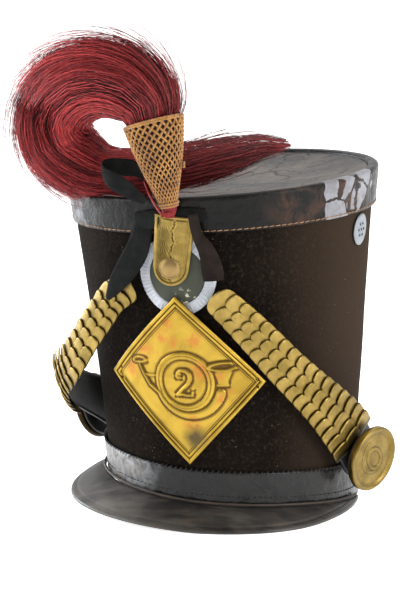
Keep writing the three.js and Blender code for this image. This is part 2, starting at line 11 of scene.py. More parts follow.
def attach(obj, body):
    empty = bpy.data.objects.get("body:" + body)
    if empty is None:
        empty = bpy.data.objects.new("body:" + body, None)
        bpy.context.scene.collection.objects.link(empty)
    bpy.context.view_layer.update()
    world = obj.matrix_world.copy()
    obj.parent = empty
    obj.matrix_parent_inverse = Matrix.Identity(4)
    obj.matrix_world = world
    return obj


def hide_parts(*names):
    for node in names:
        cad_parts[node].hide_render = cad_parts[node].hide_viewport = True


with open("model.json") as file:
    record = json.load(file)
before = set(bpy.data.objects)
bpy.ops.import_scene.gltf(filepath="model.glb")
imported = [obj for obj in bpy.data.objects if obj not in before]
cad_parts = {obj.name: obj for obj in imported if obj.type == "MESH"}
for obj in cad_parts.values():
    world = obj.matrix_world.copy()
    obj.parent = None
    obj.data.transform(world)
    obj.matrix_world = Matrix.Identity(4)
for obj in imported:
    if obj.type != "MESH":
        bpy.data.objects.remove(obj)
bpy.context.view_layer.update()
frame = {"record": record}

MM = 0.001
AXIS = np.array(next(m["pos_m"] for m in frame["record"]["mounts"] if m["name"] == "head_opening")) / MM

# The hat's own shape, as part.mjs makes it
BASE_HALF_WIDTH = 87.7
BASE_HALF_LENGTH = 97.5
TOP_HALF_WIDTH = 108.6
TOP_HALF_LENGTH = 114
RIM_HEIGHT = 231.6
RIM_TILT = 8.2
LEAN = 7.8
WAIST = 1.5
FELT = 2.4
LEATHER = 1.5
BRASS = 0.9
GAP = 0.3
CROWN_SEAM = 0.89
CROWN_EDGE = -6
BASE_BAND = 0.115
DISH = 9
VISOR_THICK = 2.3
LOZENGE_DEG = -0.9
LOZENGE_V = 0.412
LOZENGE_HALF = (59.8, 61)
LOZENGE_SWEEP = 1.1
LOZENGE_STAND = 4.8
COCKADE_DEG = -0.4
COCKADE_V = 0.754
COCKADE_DISC = 20.5
COCKADE_RIM = 29
COCKADE_THICK = 1.6
HOLDER_DEG = -0.8
HOLDER_V = 0.838
HOLDER_HALF = 13
HOLDER_LENGTH = 50
HOLDER_STAND = 4.4
HOLDER_LEAN = -8.5
BUTTON_BELOW = 37.5
BUTTON_RADIUS = 7.3
CUP_FOOT = np.array([-7.6, -124, 229])
CUP_MOUTH = np.array([-18.5, -124, 287])
CUP_MOUTH_FACE = np.array([-0.3, 0.12, 1])
CUP_RADII = (6.6, 21.5)
CUP_CORDS = 23
CUP_TWIST = 3
ROOT_FOOT = np.array([-7.6, -122.5, 221])
SCALE_COUNT = 17
SCALE_PITCH = 9.6
SCALE_OVERLAP = 3.6
SCALE_LIFT = 2.1
SCALE_ARCH = 2.2
STRAP_THICK = 2
STRAP_NARROWER = 4.2
BOSS_RADIUS = 23.7
BOSS_HEIGHT = 6
BOSS_POST = 12
BOSS_STAND = 5.6
VENT_DEG = 83
VENT_V = 0.833
VENT_RADIUS = 10.4
VENT_RING = 4.2
VENT_HOLE = 1.1
RIBBON_THICK = 0.5
RIBBON_CURL = 0.8

# The stage, in metres and degrees, but for the camera's target and lens in millimetres
FLOOR_HALF = 12
CAMERA_AZIMUTH = 18
CAMERA_ELEVATION = 11.2
CAMERA_DISTANCE = 2.8
CAMERA_TARGET = (-25.4, 0, 139.4)
CAMERA_LENS = 350
LIT_PLACE = Vector((0, 0, 0.15))
# Lights: name, place, size, power and colour
LIGHTS = [
    ("left", (-1.7, -0.7, 0.8), (0.9, 1.4), 24, (0.9, 0.95, 1)),
    ("low_left", (-1.5, 0.5, 0.42), (0.7, 0.75), 16, (0.88, 0.94, 1)),
    ("right", (1.6, -0.5, 0.9), (0.8, 1.4), 24, (1, 1, 1)),
    ("front", (-0.3, -2.2, 1.7), (1.4, 1), 6, (1, 1, 1)),
    ("top", (0.2, 0.7, 2), (1.8, 1.6), 11, (1, 1, 1)),
]

# The wall's height at the front, and how much less a degree of the oval front is than one of a circle
WALL_RISE = RIM_HEIGHT - 12
FRONT_ROUND = 0.97
# The base rim's height above the floor by direction, and the peak's reach and the height of its edge
RIM_LIFT = [(-180, 0), (-145, 0), (-115, 10), (-90, 19), (-45, 19), (0, 14), (45, 9), (90, 1.2), (120, 0), (180, 0)]
PEAK_REACH = [
    (-91, 1.2), (-78, 12.5), (-68, 21.5), (-60, 25.8), (-49, 29), (-36, 30), (-21, 29.2), (-5, 28),
    (6, 28), (18, 28.5), (32, 28), (44, 24.3), (61, 14.3), (82, 4.8), (93, 1.2),
]
PEAK_EDGE = [
    (-91, 17), (-78, 13), (-68, 9.5), (-60, 7.6), (-49, 5.8), (-36, 4.7), (-21, 3), (-5, 1.1),
    (6, 0), (18, 0), (32, 0), (44, 0), (61, 0), (82, 0), (93, 0),
]
# Middle lines of the chin scales: direction, height, distance off the felt, and the direction that they face
RIGHT_SCALES = [
    (13.6, 0.698, 5.2, 15), (22.3, 0.624, 5.4, 25), (31.3, 0.543, 5.6, 34), (40.5, 0.46, 6, 44),
    (50.1, 0.386, 6.6, 52), (60.4, 0.315, 7.6, 58), (73.5, 0.222, 9.6, 63), (82.5, 0.15, 11, 66),
]
LEFT_SCALES = [
    (-17.1, 0.728, 5.2, -18), (-28.6, 0.668, 6.2, -28), (-33.9, 0.615, 8.5, -33), (-39.2, 0.549, 14, -38),
    (-43.6, 0.482, 20, -43), (-49, 0.42, 24.5, -47), (-60, 0.355, 26.5, -49), (-74, 0.285, 24, -54),
    (-87, 0.23, 17, -68), (-98, 0.185, 10, -87),
]
SCALE_WIDTHS = [(0, 22), (0.2, 26), (0.55, 32), (0.85, 42), (1, 44)]
# The horsehair's middle line, from inside the cup: place, and half its width and depth
HAIR = np.array([
    (-16, -124, 268, 9, 9), (-19, -124, 283, 15, 15), (-22, -122, 297, 21, 18), (-36, -119, 309, 24, 21),
    (-60, -114, 313, 25, 23), (-84, -108, 304, 26, 23), (-99, -101, 285, 26, 22), (-98, -94, 264, 26, 21),
    (-86, -87, 250, 24, 20), (-70, -80, 242, 19, 19), (-53, -75, 241, 17, 19), (-30, -68, 245, 16, 21),
    (-10, -60, 248, 15, 21), (14, -47, 254, 12, 17), (31, -33, 258, 7, 11), (46, -18, 258, 2.5, 4),
], float)
# The furthest that single hairs may reach up and to the side
PLUME_TOP = 354
PLUME_SIDE = -140.5
# How much the rim's roll lifts hair, and from which share of the crown's radius and how steeply hair hangs over it
RIM_ROLL = 2.6
HANG_FROM = 1.04
HANG_SLOPE = 300
HAIRS_A_LOCK = 22
HAIR_STEPS = 20
STRAY_STEPS = 14
# Single hairs that stand away from the plume: how many, the side of it in radians from its outer side, then as
# shares of the plume where the first and last of them start, how long they are and how far out they reach
HAIR_STRAYS = [
    (60, 0, 0.03, 0.2, 0.3, 0.8), (30, 0, 0.02, 0.08, 0.2, 1.1), (90, 0, 0.03, 0.3, 0.22, 0.4),
    (100, 0, 0.25, 0.55, 0.2, 0.35), (20, 0, 0.3, 0.5, 0.3, 1.1), (60, -1.3, 0.55, 0.85, 0.2, 0.8),
    (24, 3.1, 0.7, 0.9, 0.25, 1.2), (20, 3.1, 0.3, 0.6, 0.2, 0.3),
]
# Tarnish of the plate: right and up from its middle, how far it reaches, in millimetres
PLATE_TARNISH = [
    (-10.8, 32, 7), (11.8, 30, 7), (28.5, 4, 5), (34, -6, 4), (-6, 42, 6), (-3.5, 28, 6), (15, 8, 9), (-38, 5, 7),
    (-25, 20, 8), (8, -30, 8), (30, -12, 6),
]
# Ribbons: direction, height, distance off the felt, width, and the direction that they face
RIBBON_LEFT = [
    (-10.6, 0.955, 2.4, 9, -8), (-11.8, 0.915, 3.4, 14, -10), (-14.2, 0.84, 7, 18, -13),
    (-19.2, 0.765, 11.5, 17, -18), (-23.2, 0.715, 14.5, 12, -21), (-26.6, 0.672, 15.5, 4, -24),
]
RIBBON_RIGHT = [
    (7.9, 0.96, 9, 7, 4), (9.2, 0.891, 8, 8, 6), (12.2, 0.835, 7, 12, 9), (13.8, 0.775, 6, 15, 12),
    (14, 0.74, 4.6, 14, 13),
]
# The bow's loop: place, width, and the direction that it faces
RIBBON_BOW = [
    (-23.1, -129, 232.5, 5, 15), (-27.5, -133, 236.4, 8, 15), (-33.6, -136, 241.1, 11, 12),
    (-42.7, -137, 246.7, 12, 0), (-49.5, -134, 250, 10, -40), (-53, -129, 252.2, 9, -90),
    (-52.3, -124, 254.2, 10, -140), (-43.3, -120.5, 253.8, 12, -172), (-34.7, -118, 252.1, 11, -180),
    (-28, -116.5, 247, 4, -185),
]


# Geometry

def smooth(table, x):
    """The smooth value at x of a table of (x, value) rows."""
    at, values = np.array(table, float).T
    slopes = np.gradient(values, at)
    slopes[1:-1] = (values[2:] - values[:-2]) / (at[2:] - at[:-2])
    x = np.clip(x, at[0], at[-1])
    i = np.clip(np.searchsorted(at, x, side="right") - 1, 0, len(at) - 2)
    span = at[i + 1] - at[i]
    t = (x - at[i]) / span
    rise = values[i + 1] - values[i]
    s0 = slopes[i] * span
    s1 = slopes[i + 1] * span
    return values[i] + t * (s0 + t * (3 * rise - 2 * s0 - s1 + t * (s0 + s1 - 2 * rise)))


def spaced(values, t):
    """The smooth value at t of values spread evenly from 0 to 1."""
    return smooth(np.stack([np.linspace(0, 1, len(values)), values], axis=1), t)


def points(x, y, z):
    """Arrays of x, y and z as one array of points."""
    return np.stack(np.broadcast_arrays(x, y, z), axis=-1).astype(float)


def clamp(x):
    return np.clip(x, 0, 1)


def row(first, last, count):
    """Evenly spaced values as the one row of a grid."""
    return np.linspace(first, last, count)[None, :]


def circle(steps):
    return 2 * np.pi * np.arange(steps) / steps


def all_round(steps):
    """Directions all the way round the hat."""
    return np.linspace(-180, 180, steps, endpoint=False)


def unit(v):
    return v / np.maximum(np.linalg.norm(v, axis=-1, keepdims=True), 1e-12)


def dot(a, b):
    return np.sum(a * b, axis=-1, keepdims=True)


def half_width(v):
    return BASE_HALF_WIDTH + (TOP_HALF_WIDTH - BASE_HALF_WIDTH) * v


def half_length(v):
    return BASE_HALF_LENGTH + (TOP_HALF_LENGTH - BASE_HALF_LENGTH) * v


def on_hat(deg, v, off=0):
    """A point of the hat's wall: deg is the direction from the front towards +X, v the height from base 0 to
    rim 1, and off the distance outside the felt."""
    deg, v, off = np.broadcast_arrays(np.asarray(deg, float), v, off)
    turn = np.radians(deg)
    pinch = WAIST * 4 * v * (1 - v)
    low = np.maximum(smooth(RIM_LIFT, (deg + 180) % 360 - 180), 0)
    high = RIM_HEIGHT + RIM_TILT * np.sin(turn)
    x = (half_width(v) - pinch + off) * np.sin(turn) - LEAN * v
    return points(x, -(half_length(v) - pinch + off) * np.cos(turn), low + (high - low) * v)


def about(deg, v):
    """Millimetres along the wall about a point of it: right along the hat, up, and out."""
    per_degree = math.radians(1) * half_length(v) * FRONT_ROUND
    return lambda right, up, out: on_hat(deg + right / per_degree, v + up / WALL_RISE, out)


def curve(through, t):
    """Points at t, from 0 to 1, of the centripetal Catmull-Rom curve through some points."""
    through = np.asarray(through, float)
    p = np.vstack([2 * through[0] - through[1], through, 2 * through[-1] - through[-2]])
    s = clamp(t) * (len(through) - 1)
    i = np.minimum(s.astype(int), len(through) - 2)
    w = (s - i)[..., None]
    x0, x1, x2, x3 = (p[i + k] for k in range(4))
    d0, d1, d2 = (np.sqrt(np.linalg.norm(b - a, axis=-1, keepdims=True)) for a, b in ((x0, x1), (x1, x2), (x2, x3)))
    t1 = ((x1 - x0) / d0 - (x2 - x0) / (d0 + d1) + (x2 - x1) / d1) * d1
    t2 = ((x2 - x1) / d1 - (x3 - x1) / (d1 + d2) + (x3 - x2) / d2) * d1
    return x1 + w * (t1 + w * (3 * (x2 - x1) - 2 * t1 - t2 + w * (2 * (x1 - x2) + t1 + t2)))


def direction(through, t):
    """Which way a curve runs at t."""
    step = 0.0001
    return unit(curve(through, clamp(t + step)) - curve(through, clamp(t - step)))


def rough(p, scale, seed=0):
    """Smooth noise from -1 to 1 at each point, with bumps about scale millimetres wide."""
    flat = p.reshape(-1, 3)
    shift = Vector((seed, seed * 1.7, -seed))
    values = [noise.noise(Vector(q) / scale + shift) for q in flat]
    return np.array(values).reshape(p.shape[:-1])


class Shape:
    """Closed bodies that become one mesh."""

    def __init__(self):
        self.points = []
        self.faces = []
        self.patina_and_shade = []
        self.count = 0

    def add(self, p, *faces, patina_and_shade=0):
        p = np.asarray(p, float).reshape(-1, 3)
        self.points.append(p)
        self.patina_and_shade.append(np.broadcast_to(np.ravel(patina_and_shade), len(p)))
        self.faces += [np.asarray(f) + self.count for f in faces if len(f)]
        self.count += len(p)
        return self

    def grid(self, p, loop_u=False, loop_v=False, patina_and_shade=0):
        """A surface through a grid of points, looped in either direction. Patina and painted shade go from 0 to 1."""
        nu, nv = p.shape[:2]
        i = np.arange(nu if loop_u else nu - 1)[:, None]
        j = np.arange(nv if loop_v else nv - 1)[None, :]
        i2, j2 = (i + 1) % nu, (j + 1) % nv
        quads = np.stack(np.broadcast_arrays(i * nv + j, i2 * nv + j, i2 * nv + j2, i * nv + j2), axis=-1)
        return self.add(p, quads.reshape(-1, 4), patina_and_shade=patina_and_shade)

    def capped(self, p, patina_and_shade=0):
        """A closed body through rows of points that are rings, with a fan of faces over its first and last."""
        nu, nv = p.shape[:2]
        base = self.count
        self.grid(p, loop_v=True, patina_and_shade=patina_and_shade)
        middles = self.count + np.arange(2)
        self.add([p[0].mean(axis=0), p[-1].mean(axis=0)])
        k = np.arange(nv)
        k2 = (k + 1) % nv
        far = base + (nu - 1) * nv
        self.faces += [
            np.stack([base + k, base + k2, np.full(nv, middles[0])], axis=-1),
            np.stack([far + k2, far + k, np.full(nv, middles[1])], axis=-1)]
        return self

    def slab(self, front, back, patina_and_shade=0):
        """A closed body between two grids of points. The patina and painted shade are for the front."""
        nu, nv = front.shape[:2]
        patina_and_shade_grid = np.broadcast_to(patina_and_shade, (nu, nv))
        self.grid(
            np.concatenate([front, back[:, ::-1]], axis=1), loop_v=True,
            patina_and_shade=np.concatenate([patina_and_shade_grid, np.zeros((nu, nv))], axis=1))
        size = 2 * nv
        base = self.count - nu * size
        j = np.arange(nv - 1)
        far = size - 1 - j
        low = np.stack([j, j + 1, far - 1, far], axis=-1) + base
        high = np.stack([j + 1, j, far, far - 1], axis=-1) + base + (nu - 1) * size
        self.faces += [low, high]
        return self

    def tubes(self, lines, radii, sides=3):
        """Closed tubes along lines of points, an array of (tube, step, xyz). Radii are for each step or tube."""
        lines = np.asarray(lines, float)
        count, steps = lines.shape[:2]
        ahead = unit(np.gradient(lines, axis=1))
        ref = np.where(np.abs(ahead[..., 2:3]) > 0.9, [1, 0, 0], [0, 0, 1])
        side = unit(np.cross(ahead, ref))
        up = np.cross(side, ahead)
        turn = circle(sides)
        radii = np.broadcast_to(radii, (count, steps))[..., None, None]
        ring = side[..., None, :] * np.cos(turn)[:, None] + up[..., None, :] * np.sin(turn)[:, None]
        p = lines[..., None, :] + radii * ring
        k = np.arange(count)[:, None, None] * steps * sides
        i = np.arange(steps - 1)[None, :, None]
        j = np.arange(sides)[None, None, :]
        j2 = (j + 1) % sides
        quads = np.stack(np.broadcast_arrays(
            k + i * sides + j, k + i * sides + j2, k + (i + 1) * sides + j2, k + (i + 1) * sides + j), axis=-1)
        ends = np.arange(count)[:, None] * steps * sides + np.arange(sides)[None, :]
        return self.add(p, quads.reshape(-1, 4), ends[:, ::-1], ends + (steps - 1) * sides)

    def make(self, name, material, slot, replaces=()):
        """The mesh object, riding on the hat's only body."""
        mesh = bpy.data.meshes.new(name)
        p = (np.vstack(self.points) + AXIS) * MM
        faces = [face for block in self.faces for face in block.tolist()]
        mesh.from_pydata(p.tolist(), [], faces)
        mesh.attributes.new("patina_and_shade", "FLOAT", "POINT").data.foreach_set("value", np.concatenate(self.patina_and_shade))
        mesh.validate()
        mesh.shade_smooth()
        mesh.materials.append(material)
        piece = put(name, mesh)
        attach(piece, "root")
        if replaces:
            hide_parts(*replaces)
        return piece


def polar(place, radii, outs, steps):
    """A grid of points round a place: one row for each radius."""
    turn = circle(steps)
    r = np.asarray(radii, float)[:, None]
    o = np.broadcast_to(np.asarray(outs, float).reshape(len(radii), -1), (len(radii), steps))
    return place(r * np.sin(turn), r * np.cos(turn), o)


# Materials

def tinted(color, share):
    return tuple(min(1, c * share) for c in color)


class Kit:
    """A new material or world, and short names for making its shader nodes."""

    def __init__(self, name, kind="materials", shader="Principled BSDF", place="Object"):
        self.made = getattr(bpy.data, kind).new(name)
        self.made.use_nodes = True
        self.tree = self.made.node_tree
        self.shader = self.tree.nodes[shader]
        self.here = self.node("TexCoord", output=place)

    def fill(self, node, values):
        """Links or sets a node's inputs. Colours are given as red, green and blue."""
        for key, value in values.items():
            socket = node.inputs[key]
            if isinstance(value, bpy.types.NodeSocket):
                self.tree.links.new(value, socket)
            else:
                socket.default_value = (*value, 1) if socket.type == "RGBA" else value
        return node

    def set(self, color, *coats, **values):
        """Fills the shader, and gives what it belongs to. Each coat over the colour is a mask and its own colour."""
        for mask, coat in coats:
            color = self.mix(mask, color, coat)
        self.fill(self.shader, {0: color, **{key.replace("_", " "): value for key, value in values.items()}})
        return self.made

    def node(self, kind, inputs=(), output=0, **settings):
        made = self.tree.nodes.new("ShaderNode" + kind)
        for key, value in settings.items():
            setattr(made, key, value)
        return self.fill(made, dict(inputs)).outputs[output]

    def noise(self, scale, detail=3, roughness=0.55, at=None, distortion=0):
        return self.node("TexNoise", {
            "Vector": at or self.here, "Scale": scale, "Detail": detail, "Roughness": roughness,
            "Distortion": distortion})

    def warped(self, scale, amount, detail):
        """Places of the hat, shifted by a noise of up to an amount in metres."""
        inputs = {0: self.noise(scale, detail), 1: (amount, amount, amount), 2: self.here}
        return self.node("VectorMath", inputs, operation="MULTIPLY_ADD")

    def cells(self, scale, feature="DISTANCE_TO_EDGE", at=None):
        return self.node("TexVoronoi", {"Vector": at or self.here, "Scale": scale}, feature=feature)

    def ramp(self, value, low, high, bottom=0, top=1):
        return self.node("MapRange", {
            "Value": value, "From Min": low, "From Max": high, "To Min": bottom, "To Max": top})

    def patches(self, low, high, cover, scale, *noise):
        """A mask that rises to cover where a noise goes from low to high."""
        return self.ramp(self.noise(scale, *noise), low, high, 0, cover)

    def math(self, operation, a, b):
        return self.node("Math", {0: a, 1: b}, operation=operation)

    def times(self, a, b):
        return self.math("MULTIPLY", a, b)

    def plus(self, a, b):
        return self.math("ADD", a, b)

    def mix(self, factor, a, b):
        return self.node("Mix", {0: factor, 6: a, 7: b}, 2, data_type="RGBA")

    def patina_and_shade(self):
        """How dark the mesh says each place is, from patina and painted shade, from 0 to 1."""
        return self.node("Attribute", output=2, attribute_name="patina_and_shade")

    def along(self, axis):
        """How far along an axis, in metres."""
        return self.node("SeparateXYZ", {0: self.here}, axis)

    def near(self, place, reach, fade):
        """One within fade of the reach of a place of the hat, and nothing beyond its reach, in millimetres."""
        centre = (np.asarray(place, float) + AXIS) * MM
        distance = self.node("VectorMath", {0: self.here, 1: tuple(centre)}, 1, operation="DISTANCE")
        return self.ramp(distance, reach * MM, reach * fade * MM)

    def wear_and_sheen(self, place, reach, fade, broken, low, high, cover=1):
        """A mask near a place, broken up by a noise between low and high."""
        return self.times(self.near(place, reach, fade), self.ramp(broken, low, high, 0, cover))

    def bump(self, height, distance, strength, under=None):
        """A normal from a height, in millimetres, over the normal of another bump."""
        inputs = {"Height": height, "Distance": distance * MM, "Strength": strength}
        return self.node("Bump", {**inputs, "Normal": under} if under else inputs)


def felt_material():
    """Dark napped wool with flecks of pale lint, painted lighter and browner towards +X as painted light on its lit
    side.
    """
    kit = Kit("felt")
    fine = kit.noise(420, 4, 0.7)
    lint = kit.times(kit.ramp(kit.cells(260, "F1"), 0.09, 0.05), kit.patches(0.58, 0.62, 1, 60, 1))
    return kit.set(
        (0.003, 0.0022, 0.0016),
        (kit.patches(0.35, 0.68, 1, 18, 3), (0.008, 0.0056, 0.004)),
        # Painted light: the +X side is painted lighter and browner, as if lit.
        (kit.ramp(kit.along(0), 0.055, 0.125, 0, 0.75), (0.066, 0.043, 0.028)),
        (kit.ramp(fine, 0.5, 0.7, 0, 0.6), (0.034, 0.024, 0.017)),
        (lint, (0.2, 0.17, 0.13)),
        Roughness=1, Sheen_Weight=0.03, Sheen_Roughness=0.6, Sheen_Tint=(0.45, 0.34, 0.26), Specular_IOR_Level=0.05,
        Normal=kit.bump(kit.plus(fine, kit.noise(1500, 3, 0.7)), 0.6, 0.7))


def band_leather_material():
    """Black, glossy, crinkled leather. At the crown's +X side it is flaked to pale plates with brown between, and
    towards -X it is scuffed grey with a painted highlight on the crown, and dusty with a painted highlight on the base
    band."""
    kit = Kit("band_leather")
    crinkle = kit.noise(140, 5, 0.62, distortion=0.6)
    wear_and_sheen = kit.noise(75, 6, 0.65, distortion=0.4)
    plates = kit.ramp(kit.cells(58, at=kit.warped(130, 0.008, 3)), 0.05, 0.07)
    flaked_place = kit.times(kit.near((98, -34, 234), 42, 0.2), 0.62)
    flaked = kit.times(kit.ramp(kit.plus(flaked_place, kit.noise(40, 2)), 0.78, 0.8), plates)
    pale = kit.mix(kit.ramp(wear_and_sheen, 0.4, 0.62), (0.25, 0.25, 0.275), (0.17, 0.165, 0.17))
    return kit.set(
        (0.0045, 0.004, 0.0036),
        (kit.patches(0.52, 0.7, 0.6, 48, 5, 0.6), (0.015, 0.012, 0.01)),
        (kit.wear_and_sheen((88, -56, 228), 56, 0.6, wear_and_sheen, 0.4, 0.6), (0.045, 0.021, 0.012)),
        # Scuffed grey towards -X on the crown band, with a painted highlight in it.
        (kit.wear_and_sheen((-98, -62, 222), 44, 0.3, wear_and_sheen, 0.5, 0.62, 0.8), (0.2, 0.2, 0.21)),
        # Painted highlight: a broad pale patch towards -X on the base band, where a reflection would be.
        (kit.wear_and_sheen((-60, -84, 41), 42, 0.1, crinkle, 0.34, 0.6, 0.9), (0.46, 0.47, 0.49)),
        (kit.wear_and_sheen((-62, -80, 27), 40, 0.2, wear_and_sheen, 0.45, 0.6, 0.6), (0.12, 0.09, 0.06)),
        (flaked, pale),
        Roughness=kit.ramp(crinkle, 0.3, 0.7, 0.26, 0.44), Specular_IOR_Level=0.1,
        Normal=kit.bump(crinkle, 1.6, 0.8, kit.bump(kit.cells(650, "F1"), 0.25, 0.5)),
        Coat_Weight=kit.ramp(kit.along(2), 0.08, 0.1, 0.4, 0.1),
        Coat_Roughness=kit.ramp(crinkle, 0.3, 0.7, 0.1, 0.3), Coat_Normal=kit.bump(crinkle, 0.7, 0.6))


def crown_leather_material():
    """Grey-taupe leather of the crown, darker at its front, with long cracks."""
    kit = Kit("crown_leather")
    bent = kit.warped(45, 0.03, 4)
    crack = kit.ramp(kit.cells(22, at=bent), 0, 0.02)
    small = kit.ramp(kit.cells(80, at=bent), 0, 0.05)
    wear_and_sheen = kit.noise(22, 5, 0.62)
    return kit.set(
        (0.04, 0.037, 0.036),
        (kit.ramp(wear_and_sheen, 0.38, 0.62), (0.145, 0.122, 0.104)),
        (kit.times(kit.near((-10, -95, 245), 95, 0.2), 0.6), (0.045, 0.036, 0.028)),
        (kit.patches(0.56, 0.68, 0.35, 260, 4, 0.7), (0.26, 0.24, 0.22)),
        (kit.ramp(small, 0, 1, 0.4, 0), (0.03, 0.026, 0.024)),
        (kit.ramp(crack, 0, 1, 0.9, 0), (0.01, 0.009, 0.008)),
        Roughness=kit.ramp(wear_and_sheen, 0.3, 0.7, 0.45, 0.65), Specular_IOR_Level=0.3,
        Normal=kit.bump(kit.plus(crack, kit.times(small, 0.4)), 0.8, 0.8))


def visor_leather_material():
    """Black leather, rubbed paler towards -X with a painted highlight there, and long brown and grey streaks."""
    kit = Kit("visor_leather")
    stretched = kit.node("VectorMath", {0: kit.here, 1: (0.35, 1, 1)}, operation="MULTIPLY")
    wear_and_sheen = kit.noise(60, 5, 0.62, stretched)
    return kit.set(
        (0.013, 0.012, 0.011),
        (kit.ramp(wear_and_sheen, 0.4, 0.66), (0.055, 0.048, 0.04)),
        (kit.patches(0.56, 0.7, 0.6, 150, 4, 0.6, stretched), (0.075, 0.047, 0.03)),
        # Rubbed leather towards -X, painted paler as a highlight.
        (kit.wear_and_sheen((-72, -108, 12), 52, 0.3, wear_and_sheen, 0.36, 0.6, 0.6), (0.17, 0.145, 0.125)),
        Roughness=kit.ramp(wear_and_sheen, 0.3, 0.7, 0.34, 0.52),
        Normal=kit.bump(wear_and_sheen, 0.8, 0.4, kit.bump(kit.noise(520, 3), 0.2, 0.4)))


def plain_material(name, color, roughness, grain_scale, depth, spread=0.35, metallic=0, shine=0.5):
    """One colour that varies, with a fine grain."""
    kit = Kit(name)
    grain = kit.noise(grain_scale, 4, 0.6)
    broad = kit.patches(0.35, 0.65, 1, grain_scale * 0.12, 4)
    return kit.set(
        tinted(color, 1 - spread), (broad, tinted(color, 1 + spread)),
        Roughness=kit.ramp(grain, 0.3, 0.7, roughness - 0.08, roughness + 0.08),
        Metallic=metallic, Specular_IOR_Level=shine, Normal=kit.bump(grain, depth, 0.7))


def plate_material():
    """Yellow stamped brass with orange tarnish, dark in its hollows, and with a dark smudge near its foot."""
    kit = Kit("plate_brass")
    fleck = kit.noise(160, 5, 0.7)
    place = about(LOZENGE_DEG, LOZENGE_V)
    tarnish = 0
    for right, up, reach in PLATE_TARNISH:
        tarnish = kit.math("MAXIMUM", kit.near(place(right, up, LOZENGE_STAND), reach, 0.4), tarnish)
    return kit.set(
        (0.33, 0.205, 0.024),
        (kit.ramp(kit.noise(38, 4, 0.6, distortion=0.5), 0.35, 0.6), (0.47, 0.305, 0.04)),
        (kit.times(tarnish, kit.ramp(fleck, 0.38, 0.56, 0, 0.8)), (0.44, 0.15, 0.035)),
        (kit.patches(0.6, 0.74, 0.6, 90, 5, 0.7), (0.22, 0.12, 0.025)),
        (kit.times(kit.patina_and_shade(), 0.95), (0.07, 0.032, 0.006)),
        (kit.wear_and_sheen((5, -106, 63), 11, 0.3, kit.noise(55, 4), 0.36, 0.6), (0.09, 0.065, 0.025)),
        Metallic=0.85, Roughness=kit.ramp(fleck, 0.3, 0.7, 0.28, 0.46),
        Normal=kit.bump(kit.plus(fleck, kit.noise(900, 2)), 0.12, 0.5))


def aged_brass_material():
    """Greenish old brass of the scales, the bosses and the holder, dark in its hollows and in painted shade."""
    kit = Kit("brass")
    fleck = kit.noise(300, 4, 0.7)
    return kit.set(
        (0.2, 0.138, 0.034),
        (kit.patches(0.38, 0.66, 1, 60, 5, 0.62), (0.36, 0.25, 0.072)),
        (kit.ramp(fleck, 0.58, 0.75, 0, 0.6), (0.18, 0.13, 0.05)),
        # Darkens by the mesh's marks: patina in hollows, and painted shade on scales, holder and left boss.
        (kit.patina_and_shade(), (0.026, 0.016, 0.006)),
        Metallic=1, Roughness=kit.ramp(fleck, 0.3, 0.7, 0.3, 0.5), Normal=kit.bump(fleck, 0.12, 0.5))


def painted_material(name, color, flake, flake_place):
    """Old paint that has flaked near one place."""
    kit = Kit(name)
    return kit.set(
        tinted(color, 0.8),
        (kit.patches(0.35, 0.65, 1, 70, 4), tinted(color, 1.15)),
        (kit.wear_and_sheen(flake_place, 16, 0.5, kit.noise(230, 3, 0.6), 0.56, 0.6), flake),
        Roughness=0.7, Normal=kit.bump(kit.noise(380, 4, 0.65), 0.2, 0.5))


def hair_material(name, color):
    """Dyed hair, with painted shade towards +X and where it lies over the crown."""
    kit = Kit(name)
    # Painted shade over the crown and towards +X, so that the -X side reads as lit.
    shade = kit.math("MAXIMUM", kit.near((16, -60, 242), 80, 0.4), kit.ramp(kit.along(0), -0.085, -0.02, 0, 0.7))
    return kit.set(
        tinted(color, 0.65),
        (kit.patches(0.35, 0.65, 1, 260, 2), color),
        (kit.times(shade, 0.8), tinted(color, 0.25)),
        Roughness=0.45, Specular_IOR_Level=0.3)


def cord_material():
    """Ochre yarn, with painted shade in its hollows."""
    kit = Kit("cord")
    # Painted shade: ambient occlusion darkens the yarn where it is hemmed in.
    hollow_shade = kit.node("AmbientOcclusion", {"Distance": 2 * MM}, 1, samples=6)
    return kit.set(
        (0.25, 0.1, 0.015),
        (kit.patches(0.35, 0.65, 1, 90, 3), (0.4, 0.185, 0.034)),
        (kit.ramp(hollow_shade, 0.2, 0.8, 0.8, 0), (0.11, 0.045, 0.012)),
        Roughness=0.85, Sheen_Weight=0.3, Normal=kit.bump(kit.noise(900, 3, 0.6), 0.3, 0.7))


def floor_material():
    """A pale floor that glows faintly, so that it runs into the surround."""
    kit = Kit("floor")
    return kit.set(
        (0.9, 0.9, 0.9), (kit.noise(3, 2), (0.93, 0.93, 0.93)), Roughness=0.6, Emission_Color=(1, 1, 1),
        Emission_Strength=0.8)


# Felt and leather

def felt_wall(material):
    """The felt tube, open below, with soft dents."""
    deg = all_round(220)[:, None]
    levels = row(0.004, 0.985, 48)
    outside = on_hat(deg, levels)
    dents = 0.9 * (rough(outside, 45) - 1) * 0.5 + 0.12 * (rough(outside, 7, 3) - 1)
    outside = on_hat(deg, levels, dents)
    inside = on_hat(deg, levels[:, ::-1], -FELT)
    Shape().grid(np.concatenate([outside, inside], axis=1), True, True).make(
        "felt_wall", material, "felt", ["felt_body"])


